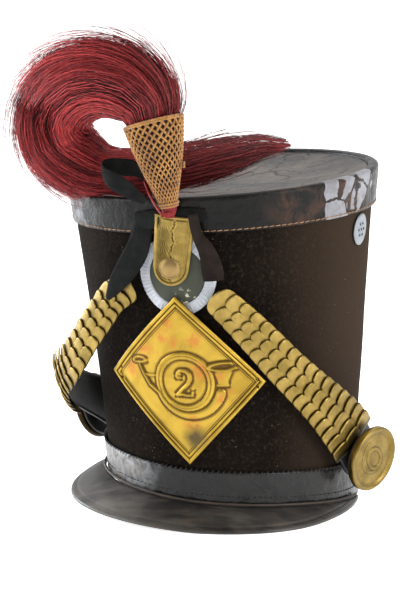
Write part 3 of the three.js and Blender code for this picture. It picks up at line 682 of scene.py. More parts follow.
def leather_band(name, node, material, low, high, top_edge, low_edge, wrinkle):
    """A leather band round the felt. Its edges are lists of (v, off) from the outer face to the inner one."""
    deg = all_round(360)[:, None]
    v = row(low, high, 15)
    face = on_hat(deg, v, GAP + LEATHER)
    crease = wrinkle * (0.55 * rough(face, 13, 1) + 0.3 * rough(face, 5, 2) + 0.15 * rough(face, 2.4, 4))
    outer = on_hat(deg, v, GAP + LEATHER + crease)
    edge = np.array(top_edge + [(high, GAP), (low, GAP)] + low_edge, float).T
    rest = on_hat(deg, edge[0][None, :], edge[1][None, :])
    Shape().grid(np.concatenate([outer, rest], axis=1), True, True).make(name, material, "band_leather", [node])


def crown_band(material):
    top_edge = [
        (0.999, 1.6), (1.003, 1), (1.006, 0), (1.0065, -2), (1.005, -4.5), (1.003, -5.7), (0.997, CROWN_EDGE),
        (0.99, CROWN_EDGE)]
    leather_band("crown_band_leather", "crown_band", material, CROWN_SEAM, 0.993, top_edge, [], 0.8)


def base_band(material):
    low_edge = [(0, GAP), (0, GAP + LEATHER + 0.4)]
    top_edge = [(BASE_BAND, GAP + LEATHER * 0.7)]
    leather_band("base_band_leather", "base_band", material, 0.012, BASE_BAND - 0.006, top_edge, low_edge, 0.7)


def crown_top(material):
    """The dished crown, creased and sagging."""
    steps = 200
    deg = all_round(steps)[None, :]
    rim = on_hat(deg, 0.997, CROWN_EDGE - GAP)
    middle = np.array([-LEAN, 0, RIM_HEIGHT - 0.7])

    def disc(shares, sink):
        share = np.asarray(shares)[:, None, None]
        p = middle + (rim - middle) * share
        p[..., 2] -= DISH * (1 - share[..., 0] ** 2) * (share[..., 0] < 1) + sink
        return p

    shares = np.append(np.linspace(0.03, 0.97, 46), [0.99, 1])
    top = disc(shares, 0)
    top[..., 2] += (0.8 * rough(top, 30, 5) + 0.35 * rough(top, 9, 6) - 0.5) * (1 - shares[:, None] ** 8)
    under = disc(shares[::-1][:24], LEATHER)
    Shape().capped(np.concatenate([under[::-1], top[::-1]], axis=0)).make(
        "crown_leather", material, "crown_leather", ["crown_top"])


def peak_root(deg, off=3.6):
    """Where the peak starts, at the base band's foot."""
    root = on_hat(deg, 0.008, off)
    root[..., 2] = np.maximum(root[..., 2] - 0.6, VISOR_THICK + 0.4)
    return root


def visor(material):
    """The peak, with a groove pressed along its edge."""
    deg = np.linspace(PEAK_REACH[0][0], PEAK_REACH[-1][0], 150)
    root = peak_root(deg)
    along = unit((on_hat(deg + 0.5, 0) - on_hat(deg - 0.5, 0)) * [1, 1, 0])
    out = points(along[:, 1], -along[:, 0], 0)
    reach = smooth(PEAK_REACH, deg)[:, None]
    far = np.maximum(smooth(PEAK_EDGE, deg), 0)[:, None]

    def rows(share, rise):
        share = np.asarray(share)[None, :]
        p = root[:, None, :] + out[:, None, :] * (share * reach)[..., None]
        crown = 1.1 * np.sin(np.pi * share) * np.minimum(1, reach / 20)
        p[..., 2] = (root[:, None, 2] - VISOR_THICK) * (1 - share) + far * share + crown + rise
        return p

    share = np.linspace(0, 0.965, 26)
    top = rows(share, VISOR_THICK)
    groove = np.exp(-((1 - share[None, :]) * reach - 4.2) ** 2 / 0.5) * np.minimum(1, reach / 15)
    top[..., 2] -= 0.55 * groove + 0.18 * (1 - rough(top, 9, 8)) * np.minimum(1, reach / 20)
    edge = np.concatenate([rows([0.985], 2.1), rows([1], 1.5), rows([1], 0.8), rows([0.985], 0.15)], axis=1)
    under = rows(np.linspace(0.95, 0, 10), 0)
    Shape().capped(np.concatenate([top, edge, under], axis=1)).make(
        "peak_leather", material, "visor_leather", ["visor"])


def welt(material):
    """The piping between the peak and the base band."""
    deg = np.linspace(PEAK_REACH[0][0] + 2, PEAK_REACH[-1][0] - 2, 160)
    centre = peak_root(deg, 3.75) + [0, 0, GAP + 1.1]
    Shape().tubes(centre[None], 1.05, 10).make("base_piping", material, "tan_leather", ["base_welt"])


def stitches(name, material, slot, deg, v, off, length, slant, radius):
    """A row of short threads round the hat: slant is how many millimetres each one rises."""
    t = row(-0.5, 0.5, 5)
    per_degree = math.radians(1) * 104
    arch = radius * 0.9 * (1 - (2 * t) ** 2)
    line = on_hat(deg[:, None] + t * length / per_degree, v + t * slant / RIM_HEIGHT, off + arch)
    Shape().tubes(line, radius, 6).make(name, material, slot)


def sewing(thread, dark_thread):
    """Tan stitches along the crown band, and dark ones along both edges of the base band."""
    outside = GAP + LEATHER
    deg = all_round(150)
    stitches("crown_seam", thread, "tan_leather", deg, CROWN_SEAM + 0.007, outside, 3.2, 0.3, 0.32)
    stitches("base_top_seam", dark_thread, "band_leather", deg + 1, BASE_BAND - 0.002, outside - 0.1, 1.6, 2.4, 0.3)
    stitches("base_low_seam", dark_thread, "band_leather", deg + 0.5, 0.034, outside + 0.1, 2.4, 0.2, 0.28)


# Front plate

def ridge(distance, half):
    """The height of a rounded ridge of a half width, for distances from its middle line."""
    return np.sqrt(np.maximum(0, 1 - (distance / half) ** 2))


def along_path(x, y, path):
    """For each point, its distance to a path of (x, y) points, and how far along the path the nearest place is."""
    best = np.full(x.shape, 1e9)
    where = np.zeros(x.shape)
    path = np.asarray(path, float)
    lengths = np.linalg.norm(np.diff(path, axis=0), axis=1)
    total = lengths.sum()
    done = 0.0
    for a, b, length in zip(path[:-1], path[1:], lengths):
        t = clamp(((x - a[0]) * (b - a)[0] + (y - a[1]) * (b - a)[1]) / length ** 2)
        d = np.hypot(x - a[0] - t * (b - a)[0], y - a[1] - t * (b - a)[1])
        closer = d < best
        best = np.where(closer, d, best)
        where = np.where(closer, (done + t * length) / total, where)
        done += length
    return best, where


def arc(centre, radius, start, end, steps=16):
    turn = np.radians(np.linspace(start, end, steps))
    return np.stack([centre[0] + radius * np.cos(turn), centre[1] + radius * np.sin(turn)], axis=-1)


RING = (3.2, -1)
RING_RADIUS = 19.2
NUMERAL = np.concatenate([
    arc((-0.6, 3.6), 1.5, 60, 300, 8), arc((2.6, 2.6), 4.9, 172, -20, 14),
    [(5.6, -2.2), (2.2, -5.6), (-1.8, -9.6)],
])
NUMERAL_FOOT = [(-2.4, -10.3), (1.5, -9.6), (5, -10.4), (8.4, -10.2), (9.4, -7.6)]


def horn_height(x, y):
    """The relief of a hunting horn curled round the numeral, in millimetres."""
    from_ring = np.hypot(x - RING[0], y - RING[1])
    wide = 1.7 + 1.1 * clamp((x - y + 10) / 40)
    height = 0.95 * ridge(from_ring - RING_RADIUS, 2.5)
    height -= 0.35 * ridge(from_ring - RING_RADIUS + 0.2, 0.55)
    lower = np.concatenate([
        [(-31, 9), (-28.5, 3.5), (-23.5, -5)], arc((6, -0.6), 24.2, 203, 342, 24)])
    d, where = along_path(x, y, lower)
    height = np.maximum(height, 1.15 * ridge(d, wide * (0.55 + 0.75 * where)))
    height -= 0.3 * ridge(d - wide * (0.62 + 0.75 * where), 0.5)
    half = 3.9 + np.clip(y - 1, 0, 8) * 0.42
    inside = clamp(1 - (np.abs(x - 30.7) / half) ** 2) * (y > -2.6) * (y < 9.5)
    height = np.maximum(height, 1.3 * np.sqrt(inside))
    height = np.maximum(height, 1.45 * ridge(np.hypot((x - 30.5) / 4.6, (y + 2.2) / 1.1), 1))
    for centre, size, rise in (((31.2, 11.2), (11.6, 2.9), 1.2), ((-31, 12.3), (5.6, 2.2), 0.9)):
        q = np.hypot((x - centre[0]) / size[0], (y - centre[1] - 0.09 * (x - centre[0])) / size[1])
        height = np.maximum(height, rise * np.clip(1.25 - q, 0, 0.25) * 4 * 0.8)
        height -= 0.75 * np.clip(0.8 - q, 0, 0.3) * 3.3
        height += 0.35 * ridge(q - 0.9, 0.14)
    d, _ = along_path(x, y, [(-29, 3), (-24, 1.6), (-17, 2.6)])
    height = np.maximum(height, 0.35 * ridge(d, 0.6))
    return height


def numeral_height(x, y):
    """The relief of the numeral inside the horn's ring, in millimetres."""
    d, where = along_path(x, y, NUMERAL)
    thick = 1.0 + 0.75 * np.sin(np.pi * clamp((where - 0.25) / 0.6)) ** 2
    height = 1.15 * ridge(d, thick)
    d, where = along_path(x, y, NUMERAL_FOOT)
    height = np.maximum(height, 1.1 * ridge(d, 1.25 - 0.5 * where))
    return np.maximum(height, 1.2 * ridge(np.hypot(x + 1.2, y - 2.6), 1.7))


def hollows(height, reach):
    """How much lower each point of a grid is than its neighbours within reach steps."""
    near = np.zeros_like(height)
    for i, j in ((reach, 0), (-reach, 0), (0, reach), (0, -reach)):
        near += np.maximum(np.roll(height, (i, j), (0, 1)), height - 0.4)
    return np.maximum(near / 4 - height, 0)


def front_plate(material):
    """A lozenge of stamped brass bent round the felt, with a double moulding round it."""
    place = about(LOZENGE_DEG, LOZENGE_V)
    half, half_high = LOZENGE_HALF
    across = 2 * half * half_high / math.hypot(half, half_high)
    near = np.array([0, 0.15, 0.4, 0.8, 1.3, 1.8, 2.3, 2.6, 2.9, 3.3, 3.8, 4.4, 4.9, 5.3, 5.7, 6.2, 6.8, 7.3]) / across
    lines = np.concatenate([near, np.linspace(near[-1], 1 - near[-1], 122)[1:-1], 1 - near[::-1]])
    s, t = np.meshgrid(lines, lines, indexing="ij")
    x = half * (s - t)
    y = half_high * (1 - s - t)
    edge = np.minimum(np.minimum(s, t), np.minimum(1 - s, 1 - t)) * across
    height = 1.5 * ridge(edge - 1.5, 1.55) + 1.15 * ridge(edge - 4.3, 0.95) + 0.6 * ridge(edge - 6.3, 0.45)
    x = x + LOZENGE_SWEEP * (s + t) ** 2
    relief = horn_height(x, y)
    relief = np.where(np.hypot(x - RING[0], y - RING[1]) < RING_RADIUS - 3.2, numeral_height(x, y), relief)
    height = np.where(edge > 6.9, 0.25 + relief, height)
    for hole in ((-49.2, 4.1), (-49.2, -3.7), (54.5, 1.5), (54.5, -3.5)):
        height = height - 1.3 * np.clip(1.5 - np.hypot(x - hole[0], y - hole[1]), 0, 0.8)
    patina_and_shade = clamp(3.4 * hollows(height, 4) + 2.6 * hollows(height, 2))
    flat = place(x, y, LOZENGE_STAND)
    waves = 0.25 * rough(flat, 24, 9) * clamp(edge / 12)
    front = place(x, y, LOZENGE_STAND + BRASS - 0.25 + height + waves)
    Shape().slab(front, flat, patina_and_shade).make("lozenge", material, "plate_brass", ["front_plate"])


# Cockade and plume holder

def cockade(disc_paint, rim_paint):
    """A painted disc inside a fluted white rim."""
    place = about(COCKADE_DEG, COCKADE_V)
    top = GAP + COCKADE_THICK
    radii = np.array([1, 5, 9, 13, 17, 19.8, COCKADE_DISC, COCKADE_DISC, 17, 1])
    outs = np.array([0.6, 0.55, 0.5, 0.4, 0.25, 0.15, -0.1, -COCKADE_THICK, -COCKADE_THICK, -COCKADE_THICK]) + top
    Shape().capped(polar(place, radii, outs, 120)).make(
        "cockade_centre", disc_paint, "cockade_paint", ["cockade_disc"])
    turn = circle(480)
    flute = 0.42 * np.abs(np.sin(turn * 30))
    radii = np.array([COCKADE_DISC + GAP, COCKADE_DISC + GAP, 23, 26, 28.3, COCKADE_RIM, COCKADE_RIM])
    outs = np.array([GAP, top - 0.1, top + 0.25, top + 0.3, top, top - 0.6, GAP])[:, None]
    share = np.array([0, 0.2, 1, 1, 1, 0.8, 0])[:, None]
    Shape().grid(polar(place, radii, outs - flute * share, 480), True, True).make(
        "cockade_flutes", rim_paint, "cockade_white", ["cockade_rim"])


def holder_place(right, up, out):
    """A point of the leaning plume holder, right, up and out from its middle."""
    lean = math.radians(HOLDER_LEAN)
    place = about(HOLDER_DEG, HOLDER_V)
    return place(right * math.cos(lean) - up * math.sin(lean), right * math.sin(lean) + up * math.cos(lean), out)


def plume_holder(material):
    """The brass tongue, chased with a feather on each side of a wavy rib."""
    straight = HOLDER_LENGTH - HOLDER_HALF
    round_end = straight + HOLDER_HALF * np.sin(np.radians(np.linspace(2, 86, 34)))
    down = np.concatenate([np.linspace(0, straight, 90), round_end])[:, None]
    reach = np.where(
        down < straight, HOLDER_HALF + 1.2 * (1 - down / straight),
        np.sqrt(np.maximum(0.6, HOLDER_HALF ** 2 - np.maximum(down - straight, 0) ** 2)))
    share = np.sin(np.linspace(-np.pi / 2, np.pi / 2, 81))[None, :]
    x = reach * share
    up = HOLDER_LENGTH / 2 - down
    bow = 1.6 * (1 - (x / HOLDER_HALF) ** 2)
    end = np.hypot(x, np.maximum(down - straight, 0))
    edge = np.minimum(np.where(down < straight, reach - np.abs(x), HOLDER_HALF - end), down + 0.2)
    rib = 0.9 * np.sin(down * 0.42) + 0.4 * np.sin(down * 1.1)
    from_rib = np.abs(x - rib)
    inside = clamp((edge - 2.4) / 0.8)
    feather = np.sin(2 * np.pi * (down + from_rib * 0.9 + 0.05 * from_rib ** 2) / 2.3)
    chased = 0.24 * feather * clamp(from_rib / 1.2) - 0.5 * ridge(from_rib, 0.7) + 0.25 * ridge(from_rib - 1.3, 0.7)
    swell = 0.7 * ridge(np.abs(x) - 4.6, 4.4)
    height = 0.7 * ridge(edge - 1.1, 1.15) - 0.25 * ridge(edge - 2.5, 0.5) + inside * (chased + swell - 0.25)
    # Painted shadow down the left of the tongue, broken by the feather strokes; the hollows add patina.
    shade = 0.95 * np.exp(-((x + 7) / 3.4) ** 2) * clamp((down - 4) / 8) * inside
    patina_and_shade = clamp(1.5 * hollows(height, 2) + shade * (0.7 - 0.6 * feather))
    front = holder_place(x, up, HOLDER_STAND + BRASS + bow + height)
    back = holder_place(x, up + 0 * x, HOLDER_STAND + bow)
    Shape().slab(front, back, patina_and_shade).make("holder_tongue", material, "brass", ["plume_holder"])


def holder_button(material):
    def place(right, up, out):
        return holder_place(right, up + HOLDER_LENGTH / 2 - BUTTON_BELOW, out)
    radii = np.array([0.6, 2.5, 4.5, 5.8, 6.6, 6.9, BUTTON_RADIUS, BUTTON_RADIUS + 0.4, BUTTON_RADIUS + 0.4, 1])
    outs = np.array([2.5, 2.35, 1.95, 1.4, 0.8, 0.4, 0.7, 0.35, 0, 0]) + HOLDER_STAND + BRASS + 1.6 + GAP
    Shape().capped(polar(place, radii, outs, 64)).make(
        "button_dome", material, "brass", ["holder_button"])


# Plume

def hoop(centre, ahead, wide, deep, turn):
    """Points square to a direction, at turn round it."""
    ahead = unit(ahead)
    side = unit(np.array([0, 1, 0]) - ahead * ahead[..., 1:2])
    up = np.cross(side, ahead)
    return centre + up * (wide * np.cos(turn))[..., None] + side * (deep * np.sin(turn))[..., None]


def cup_place(share, turn, off):
    """A point of the cup: share is 0 at its foot and 1 at its oblique mouth."""
    share, turn, off = np.broadcast_arrays(share, turn, off)
    s = share[..., None]
    centre = CUP_FOOT + (CUP_MOUTH - CUP_FOOT) * s
    stem = unit(CUP_MOUTH - CUP_FOOT)
    ahead = stem + (unit(CUP_MOUTH_FACE) - stem) * s ** 2
    low, high = CUP_RADII
    radius = (low + (high - low) * share) * (1 + 0.08 * np.sin(np.pi * clamp(share))) + off
    return hoop(centre, ahead, radius, radius * 0.92, turn)


def plume_cup(yarn, lining):
    """The cup: two families of cords, woven over and under each other round a thin lining."""
    turn = circle(64)
    outer = cup_place(row(0, 0.985, 14).T, turn, -2.1)
    inner = cup_place(row(0.985, 0.3, 8).T, turn, -2.6)
    Shape().capped(np.concatenate([outer, inner])).make("cup_lining", lining, "cord")
    count, twist, steps = CUP_CORDS, CUP_TWIST, 96
    share = row(0, 1, steps)
    start = circle(count)[:, None]
    weave = 0.45 * np.cos(count * twist * share)
    thick = 0.42 + 0.42 * share
    shape = Shape()
    for way in (1, -1):
        shape.tubes(cup_place(share, start + way * twist * share, way * weave * (0.4 + 0.6 * share) - 0.95), thick, 6)
    around = row(0, 2 * np.pi, 72)
    for level, off, radius in ((1, -0.8, 0.8), (0.98, -0.3, 0.6), (0, -0.5, 0.9), (0.03, -0.2, 0.8)):
        shape.tubes(cup_place(level, around, off + 0.2 * np.cos(around * 15)), radius, 8)
    knot = cup_place(0.45, 0, 1.2)
    loop = np.linspace(0, 4 * np.pi, 30)
    knot_line = knot + points(1.1 * np.sin(loop * 0.5), 1.3 * np.cos(loop), 1.6 * np.sin(loop))
    shape.tubes(knot_line[None], 0.8, 6)
    shape.make("cup_weave", yarn, "cord", ["plume_cup"])


def hair_place(t, turn, out):
    """A point of the plume: t along its middle line, and out from 0 in its middle to 1 at its surface."""
    t, turn, out = np.broadcast_arrays(t, turn, out)
    wide, deep = (spaced(HAIR[:, k], t) * out for k in (3, 4))
    return hoop(curve(HAIR[:, :3], t), direction(HAIR[:, :3], t), wide, deep, turn)


def over_crown(p):
    """Lifts points that would be inside the crown, so that the hair rests on it and hangs over its rim."""
    x = (p[..., 0] + LEAN) / TOP_HALF_WIDTH
    share = np.hypot(x, p[..., 1] / TOP_HALF_LENGTH)
    inside = np.minimum(share, 1)
    crown = RIM_HEIGHT + RIM_TILT * x - DISH * (1 - inside ** 2) + RIM_ROLL * inside ** 8
    p[..., 2] = np.maximum(p[..., 2], crown + 0.5 - HANG_SLOPE * np.maximum(share - HANG_FROM, 0))
    return p


def strands(rng, locks):
    """Lines of hair in locks: they start in the cup, fan out a little and end in the last half of the plume."""
    count = locks * HAIRS_A_LOCK

    def each(values, scatter):
        return np.repeat(values, HAIRS_A_LOCK)[:, None] + rng.normal(0, scatter, (count, 1))

    end = np.clip(each(rng.uniform(0.55, 1, locks), 0.05), 0.2, 1)
    t = row(0, 1, HAIR_STEPS) ** 0.9 * end
    out = np.clip(each(np.sqrt(rng.uniform(0.03, 1, locks)), 0.07), 0.02, 1.04)
    turn = each(rng.uniform(0, 2 * np.pi, locks), 0.16)
    drift = each(rng.normal(0, 0.5, locks), 0.16) * t
    pace = each(rng.uniform(4, 14, locks), 1.5)
    phase = each(rng.uniform(0, 2 * np.pi, locks), 0.6)
    wander = 1 + 0.05 * np.sin(pace * t * 2 + phase) * t
    return over_crown(hair_place(t, turn + drift, out * wander))


def plume_hair(bright, middling, dark):
    """A closed core, and locks and single hairs of three shades round it."""
    rng = np.random.default_rng(7)
    core = hair_place(row(0.03, 0.9, 60).T, circle(32), 0.6)
    core = over_crown(core + 1.5 * rough(core, 8)[..., None])
    Shape().capped(core).make("hair_core", dark, "horsehair", ["plume_hair"])
    for name, material, locks in (("bright", bright, 44), ("middling", middling, 44), ("dark", dark, 29)):
        shape = Shape().tubes(strands(rng, locks), row(0.27, 0.11, HAIR_STEPS))
        for group in HAIR_STRAYS:
            shape.tubes(strays(rng, *group), row(0.2, 0.1, STRAY_STEPS))
        shape.make("hair_" + name, material, "horsehair")


def strays(rng, count, side, first, last, length, reach):
    """Lines of single hairs, for a row of HAIR_STRAYS."""
    start = rng.uniform(first, last, (count, 1))
    along = row(0, 1, STRAY_STEPS)
    t = np.minimum(start + length * rng.uniform(0.5, 1, (count, 1)) * along, 0.99)
    turn = side + rng.normal(0, 0.6, (count, 1)) + rng.normal(0, 0.3, (count, 1)) * along
    away = reach * rng.uniform(0.15, 1, (count, 1))
    lines = hair_place(t, turn, 0.92 + away * along ** 1.4)
    lines[..., 0] = np.maximum(lines[..., 0], PLUME_SIDE)
    lines[..., 2] = np.minimum(lines[..., 2], PLUME_TOP)
    return over_crown(lines)


def plume_root(material):
    """Red hair and thread between the cup's foot and the holder."""
    rng = np.random.default_rng(3)
    count, steps = 150, 14
    t = row(0, 1, steps)
    turn = rng.uniform(0, 2 * np.pi, (count, 1)) + 0.5 * t
    out = np.sqrt(rng.uniform(0.1, 1, (count, 1)))
    low = ROOT_FOOT
    high = CUP_FOOT + np.array([0, 0, 3])
    radius = (5.8 * t ** 0.6 + 2.8 * (1 - t)) * out
    centre = low + (high - low) * t[..., None]
    lines = hoop(centre, high - low, radius, radius * 0.55, turn)
    shape = Shape().tubes(lines, 0.5, 5)
    side = np.linspace(0, 1, 20)
    for k in range(8):
        share = 0.34 * (1 - side) ** 1.1 - 0.08 * side
        line = cup_place(share, 3.5 - 0.12 * k + (0.5 + 0.1 * k) * side, 1.2 + 1.3 * np.sin(np.pi * side))
        line = np.vstack([line, low + np.array([2.5 - 0.9 * k, -4.2, 4 - 0.5 * k])])
        shape.tubes(line[None], 0.6, 5)
    shape.make("root_threads", material, "horsehair", ["plume_root"])


# Ribbons

def ribbon(name, through, widths, faces, material, replaces=()):
    """A ribbon along a line of points, with its own width and facing at each."""
    t = np.linspace(0, 1, 60)
    ahead = direction(through, t)
    facing = np.stack([spaced(face, t) for face in faces.T], axis=1)
    out = unit(facing - ahead * dot(facing, ahead))
    side = np.cross(out, ahead)
    width = spaced(widths, t)
    across = np.linspace(-0.5, 0.5, 9)
    line = curve(through, t)
    flat = line[:, None] + side[:, None] * (across[None, :] * width[:, None])[..., None]
    lift = RIBBON_CURL * (1 - (2 * across) ** 2)[None, :] + 0.25 * rough(flat, 6, 11)
    front = flat + out[:, None] * (lift + RIBBON_THICK)[..., None]
    back = flat + out[:, None] * lift[..., None]
    piece = Shape().slab(front, back).make(name, material, "ribbon", replaces)


def compass(deg):
    """Level directions that face deg from the front towards +X."""
    turn = np.radians(deg)
    return points(np.sin(turn), -np.cos(turn), 0)


def ribbons(black, brown):
    """Two tails, a loop and a knot round the foot of the cup."""
    for name, rows, node, material in (
            ("ribbon_tail_left", RIBBON_LEFT, "ribbon_left", black),
            ("ribbon_tail_right", RIBBON_RIGHT, "ribbon_right", brown)):
        deg, v, off, width, face = np.array(rows, float).T
        ribbon(name, on_hat(deg, v, off), width, compass(face), material, [node])
    bow = np.array(RIBBON_BOW)
    ribbon("ribbon_loop", bow[:, :3], bow[:, 3], compass(bow[:, 4]), black, ["ribbon_bow"])
    deg = np.array([-15, -8, 0, 7, 12])
    knot = on_hat(deg, [0.935, 0.94, 0.945, 0.95, 0.95], [3, 4.2, 4.2, 3.8, 3.2])
    ribbon("ribbon_knot", knot, [10, 13, 13, 11, 8], compass(deg), black)


# Chin scales

class ScaleFrame:
    """A chin scale's own frame: along its middle line in millimetres, across it, and up from its leather."""

    def __init__(self, rows):
        deg, v, off, face = np.array(rows, float).T
        self.through = on_hat(deg, v, off)
        self.face = face
        line = curve(self.through, np.linspace(0, 1, 401))
        self.lengths = np.append(0, np.cumsum(np.linalg.norm(np.diff(line, axis=0), axis=1)))
        self.length = self.lengths[-1]

    def place(self, along, across, up):
        along, across, up = np.broadcast_arrays(np.asarray(along, float), across, up)
        t = np.interp(along, self.lengths, np.linspace(0, 1, 401))
        ahead = direction(self.through, t)
        turn = np.radians(spaced(self.face, t))
        outward = points(np.sin(turn), -np.cos(turn), -0.14)
        out = unit(outward - ahead * dot(outward, ahead))
        side = np.cross(out, ahead)
        past = np.maximum(along - self.length, 0)[..., None]
        return curve(self.through, t) + side * across[..., None] + out * up[..., None] + ahead * past

    def width(self, along):
        return smooth(SCALE_WIDTHS, along / self.length)


def scales(side, rows, brass, leather, rim_patina_and_shade):
    """A chin scale: its brass rows with one, two and then three lobes, its leather and its boss."""
    made = ScaleFrame(rows)
    shape = Shape()
    slope = SCALE_LIFT / (SCALE_PITCH + SCALE_OVERLAP)
    for number in range(SCALE_COUNT):
        start = number * SCALE_PITCH
        lobes = min(number + 1, 3)
        columns = 24 * lobes if lobes > 1 else 48
        across = np.linspace(-1, 1, columns + 1)
        if lobes == 1:
            cut = 8 * (1 - np.sqrt(np.maximum(0, 1 - across ** 2)))
            dome = np.zeros_like(across)
        else:
            within = 2 * (((across + 1) / 2 * lobes) % 1) - 1
            bulge = np.sqrt(np.maximum(0, 1 - within ** 2))
            bulge[0] = bulge[-1] = 0
            cut = 3.4 * (1 - bulge)
            dome = 0.9 * bulge - 0.6
        front = (start + cut)[:, None]
        end = min(start + SCALE_PITCH + SCALE_OVERLAP, made.length - BOSS_POST - 1.5)
        b = row(0, 1, 12) ** 1.5
        along = front + (np.maximum(end, front + 2) - front) * b
        a = across[:, None]
        arch = SCALE_ARCH * (1 - a ** 2)
        up = GAP + SCALE_LIFT + 0.1 - slope * (along - start) + arch
        lobe = dome[:, None] * np.exp(-(along - front) / 5) * (b < 0.999)
        lip = -0.45 * np.exp(-((along - front) / 0.35) ** 2) + 0.25 * np.exp(-((along - front - 1) / 0.6) ** 2)
        half = made.width(start + 5) / 2
        top = made.place(along, a * half, up + BRASS * 0.85 + lobe + lip)
        under = made.place(along, a * half, up - 0.15 + lobe)
        # Painted shade where each plate runs under the next one and in the clefts between its lobes.
        covered_shade = clamp((along - start - SCALE_PITCH + 0.4) / 2.4)
        cleft_shade = clamp(-dome[:, None] * 1.6) * np.exp(-(along - front) / 2)
        shape.slab(top, under, clamp(0.8 * covered_shade + 0.6 * cleft_shade))
    names = [f"scale_{side}_{i + 1:02d}" for i in range(SCALE_COUNT)]
    shape.make(f"scales_{side}", brass, "brass", names)

    along = row(7, made.length + 11.4, 90).T
    share = row(-1, 1, 17)
    past = np.maximum(along - made.length, 0)
    half = (made.width(np.minimum(along, made.length)) / 2 - STRAP_NARROWER) * np.sqrt(1 - (past / 12) ** 2)
    arch = SCALE_ARCH * (1 - share ** 2)
    top = made.place(along, share * half, arch)
    under = made.place(along, share * half * 0.98, arch - STRAP_THICK)
    Shape().slab(top, under).make(f"strap_leather_{side}", leather, "strap_leather", [f"strap_{side}"])

    middle = made.place(made.length, 0, SCALE_ARCH)
    out = unit(made.place(made.length, 0, SCALE_ARCH + 1) - middle)
    across_it = unit(made.place(made.length, 1, SCALE_ARCH) - middle)
    along_it = np.cross(across_it, out)

    def boss_place(right, up, height):
        return middle + across_it * right[..., None] + along_it * up[..., None] + out * np.asarray(height)[..., None]

    top_height = BOSS_STAND + BOSS_HEIGHT
    rim = BOSS_RADIUS
    face = np.linspace(0.4, rim - 5, 40)
    edge_radii = np.array([rim - 4.4, rim - 3.6, rim - 3, rim - 2, rim - 1, rim - 0.3, rim, rim - 0.1, rim - 1.2])
    edge_outs = np.array([-1.5, -0.9, -0.3, 0, -0.1, -0.7, -1.8, -4.6, -5.4]) + top_height
    low_outs = np.append(edge_outs, [BOSS_STAND, BOSS_STAND - 1, GAP * 2, GAP * 2])
    steps = 180
    turn = circle(steps)
    fx, fy = face[:, None] * np.sin(turn), face[:, None] * np.cos(turn)
    relief = 0.7 * ridge(np.hypot((fx - 1) / 6.5, (fy - 1) / 8.5) - 1, 0.2)
    relief += 0.5 * ridge(np.hypot((fx - 3) / 13.5, (fy + 1) / 12.5) - 1, 0.07) * (fx < 4)
    face_out = top_height - 1.9 + 0.4 * (1 - (face[:, None] / rim) ** 2) + relief
    radii = np.concatenate([face, edge_radii, [rim - 3, BOSS_POST, BOSS_POST, 4]])
    outs = np.vstack([face_out, np.repeat(low_outs[:, None], steps, axis=1)])
    # The face is lightly tarnished; the edge and underside darken by the rim amount, which is painted shade on the left
    # boss.
    patina_and_shade_grid = np.where(np.arange(len(radii)) < len(face) + 5, 0.18, rim_patina_and_shade)[:, None] + np.zeros(steps)
    patina_and_shade_grid[:len(face)] += np.clip(3 * hollows(face_out, 2), 0, 0.6)
    Shape().capped(polar(boss_place, radii, outs, steps), patina_and_shade_grid).make(
        f"boss_disc_{side}", brass, "brass", [f"boss_{side}"])
    backing = np.array([1, rim - 4, rim - 1.8, rim - 1.2, rim - 2.4, rim - 6, 1])
    levels = np.array([-0.1, -0.1, 0.6, -0.2, -1.4, -2.2, -2.3]) + BOSS_STAND
    Shape().capped(polar(boss_place, backing, levels, steps)).make(
        f"boss_backing_{side}", leather, "strap_leather")


# Vents

def vent(side, way, metal, dark):
    """A white-metal disc with seven holes, their shade painted as dark plugs."""
    place = about(way * VENT_DEG, VENT_V)
    ring = [(0, 0)] + [(VENT_RING * math.cos(t), VENT_RING * math.sin(t)) for t in circle(6)]
    edge = [VENT_RADIUS - 0.5, VENT_RADIUS, VENT_RADIUS, 1]
    radii = np.concatenate([[0.3], np.linspace(0.6, VENT_RADIUS - 1, 34), edge])
    outs = np.concatenate([np.full(35, 1.2), [1.05, 0.7, 0, 0]])[:, None] + GAP
    turn = circle(140)
    x, y = radii[:, None] * np.sin(turn), radii[:, None] * np.cos(turn)
    nearest = np.min([np.hypot(x - a, y - b) for a, b in ring], axis=0)
    lip = 0.2 * np.exp(-((nearest - 1.5) / 0.3) ** 2)
    lip[-4:] = 0
    Shape().capped(place(x, y, outs + lip)).make(
        f"vent_disc_{side}", metal, "white_metal", [f"vent_{side}"])
    # Near-black plugs in the holes are painted shade.
    shape = Shape()
    for a, b in ring:
        line = place(np.array([a, a]), np.array([b, b]), np.array([GAP + 0.2, GAP + 1.26]))
        shape.tubes(line[None], VENT_HOLE, 14)
    shape.make(f"vent_hole_shade_{side}", dark, "white_metal")


# Stage

def put(name, data):
    """A new object in the scene."""
    made = bpy.data.objects.new(name, data)
    bpy.context.scene.collection.objects.link(made)
    return made


def floor():
    mesh = bpy.data.meshes.new("floor")
    size = FLOOR_HALF
    mesh.from_pydata([(-size, -size, 0), (size, -size, 0), (size, size, 0), (-size, size, 0)], [], [(0, 1, 2, 3)])
    mesh.materials.append(floor_material())
    put("floor", mesh)


def camera():
    """The camera looks at the hat from above and a little towards +X."""
    azimuth, elevation = math.radians(CAMERA_AZIMUTH), math.radians(CAMERA_ELEVATION)
    target = Vector((np.array(CAMERA_TARGET) + AXIS) * MM)
    back = Vector((
        math.sin(azimuth) * math.cos(elevation), -math.cos(azimuth) * math.cos(elevation), math.sin(elevation)))
    data = bpy.data.cameras.new("camera")
    data.sensor_fit = "HORIZONTAL"
    data.sensor_width = 36
    data.lens = CAMERA_LENS
    seen = put("camera", data)
    seen.location = target + back * CAMERA_DISTANCE
    seen.rotation_euler = (-back).to_track_quat("-Z", "Y").to_euler()
    bpy.context.scene.camera = seen


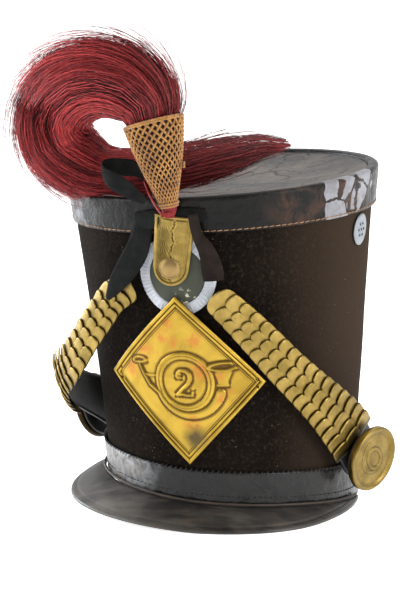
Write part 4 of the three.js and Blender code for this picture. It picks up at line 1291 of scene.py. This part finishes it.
def lights():
    """Soft lights, in a white surround that is dimmer in front of the hat."""
    bpy.context.scene.view_settings.view_transform = "Standard"
    world = Kit("studio", "worlds", "Background", "Generated")
    bpy.context.scene.world = world.set((1, 1, 1), Strength=world.ramp(world.along(1), -0.5, 0.5, 0.35))
    for name, place, size, power, color in LIGHTS:
        data = bpy.data.lights.new(name, "AREA")
        data.shape = "RECTANGLE"
        data.size, data.size_y = size
        data.energy = power
        data.color = color
        lamp = put(name, data)
        lamp.location = place
        lamp.rotation_euler = (LIT_PLACE - lamp.location).to_track_quat("-Z", "Y").to_euler()


# The whole hat

def main():
    camera()
    lights()
    floor()
    band_leather = band_leather_material()
    brass = aged_brass_material()
    ribbon_black = plain_material("ribbon", (0.007, 0.0075, 0.007), 0.85, 900, 0.15, shine=0.12)
    ribbon_brown = plain_material("ribbon_brown", (0.013, 0.0085, 0.0065), 0.85, 900, 0.15, shine=0.12)
    strap_leather = plain_material("strap_leather", (0.012, 0.01, 0.009), 0.45, 400, 0.3)
    # Near-black material for the vent holes' painted shade.
    dark = plain_material("hole_shade", (0.004, 0.004, 0.004), 0.9, 300, 0.05)
    metal = plain_material("white_metal", (0.235, 0.255, 0.28), 0.4, 400, 0.1, 0.12, 0.6)

    felt_wall(felt_material())
    crown_band(band_leather)
    base_band(band_leather)
    crown_top(crown_leather_material())
    visor(visor_leather_material())
    welt(plain_material("tan_leather", (0.03, 0.018, 0.01), 0.6, 500, 0.3))
    sewing(plain_material("thread", (0.3, 0.16, 0.075), 0.8, 900, 0.1), strap_leather)
    front_plate(plate_material())
    cockade(
        painted_material("cockade_paint", (0.034, 0.038, 0.022), (0.6, 0.58, 0.42), (3, -117, 158)),
        painted_material("cockade_white", (0.5, 0.52, 0.56), (0.25, 0.22, 0.18), (0, -117, 158)))
    plume_holder(brass)
    holder_button(plain_material("button_brass", (0.25, 0.165, 0.065), 0.42, 300, 0.1, 0.25, 1))
    plume_cup(cord_material(), plain_material("lining", (0.03, 0.014, 0.006), 0.9, 400, 0.2))
    plume_hair(
        hair_material("hair_bright", (0.78, 0.08, 0.08)), hair_material("hair_middling", (0.38, 0.032, 0.036)),
        hair_material("hair_dark", (0.055, 0.007, 0.009)))
    plume_root(hair_material("hair_root", (0.42, 0.022, 0.022)))
    ribbons(ribbon_black, ribbon_brown)
    scales("right", RIGHT_SCALES, brass, strap_leather, 0.2)
    # The left boss's edge and underside are painted into full shade.
    scales("left", LEFT_SCALES, brass, strap_leather, 1)
    vent("right", 1, metal, dark)
    vent("left", -1, metal, dark)


main()
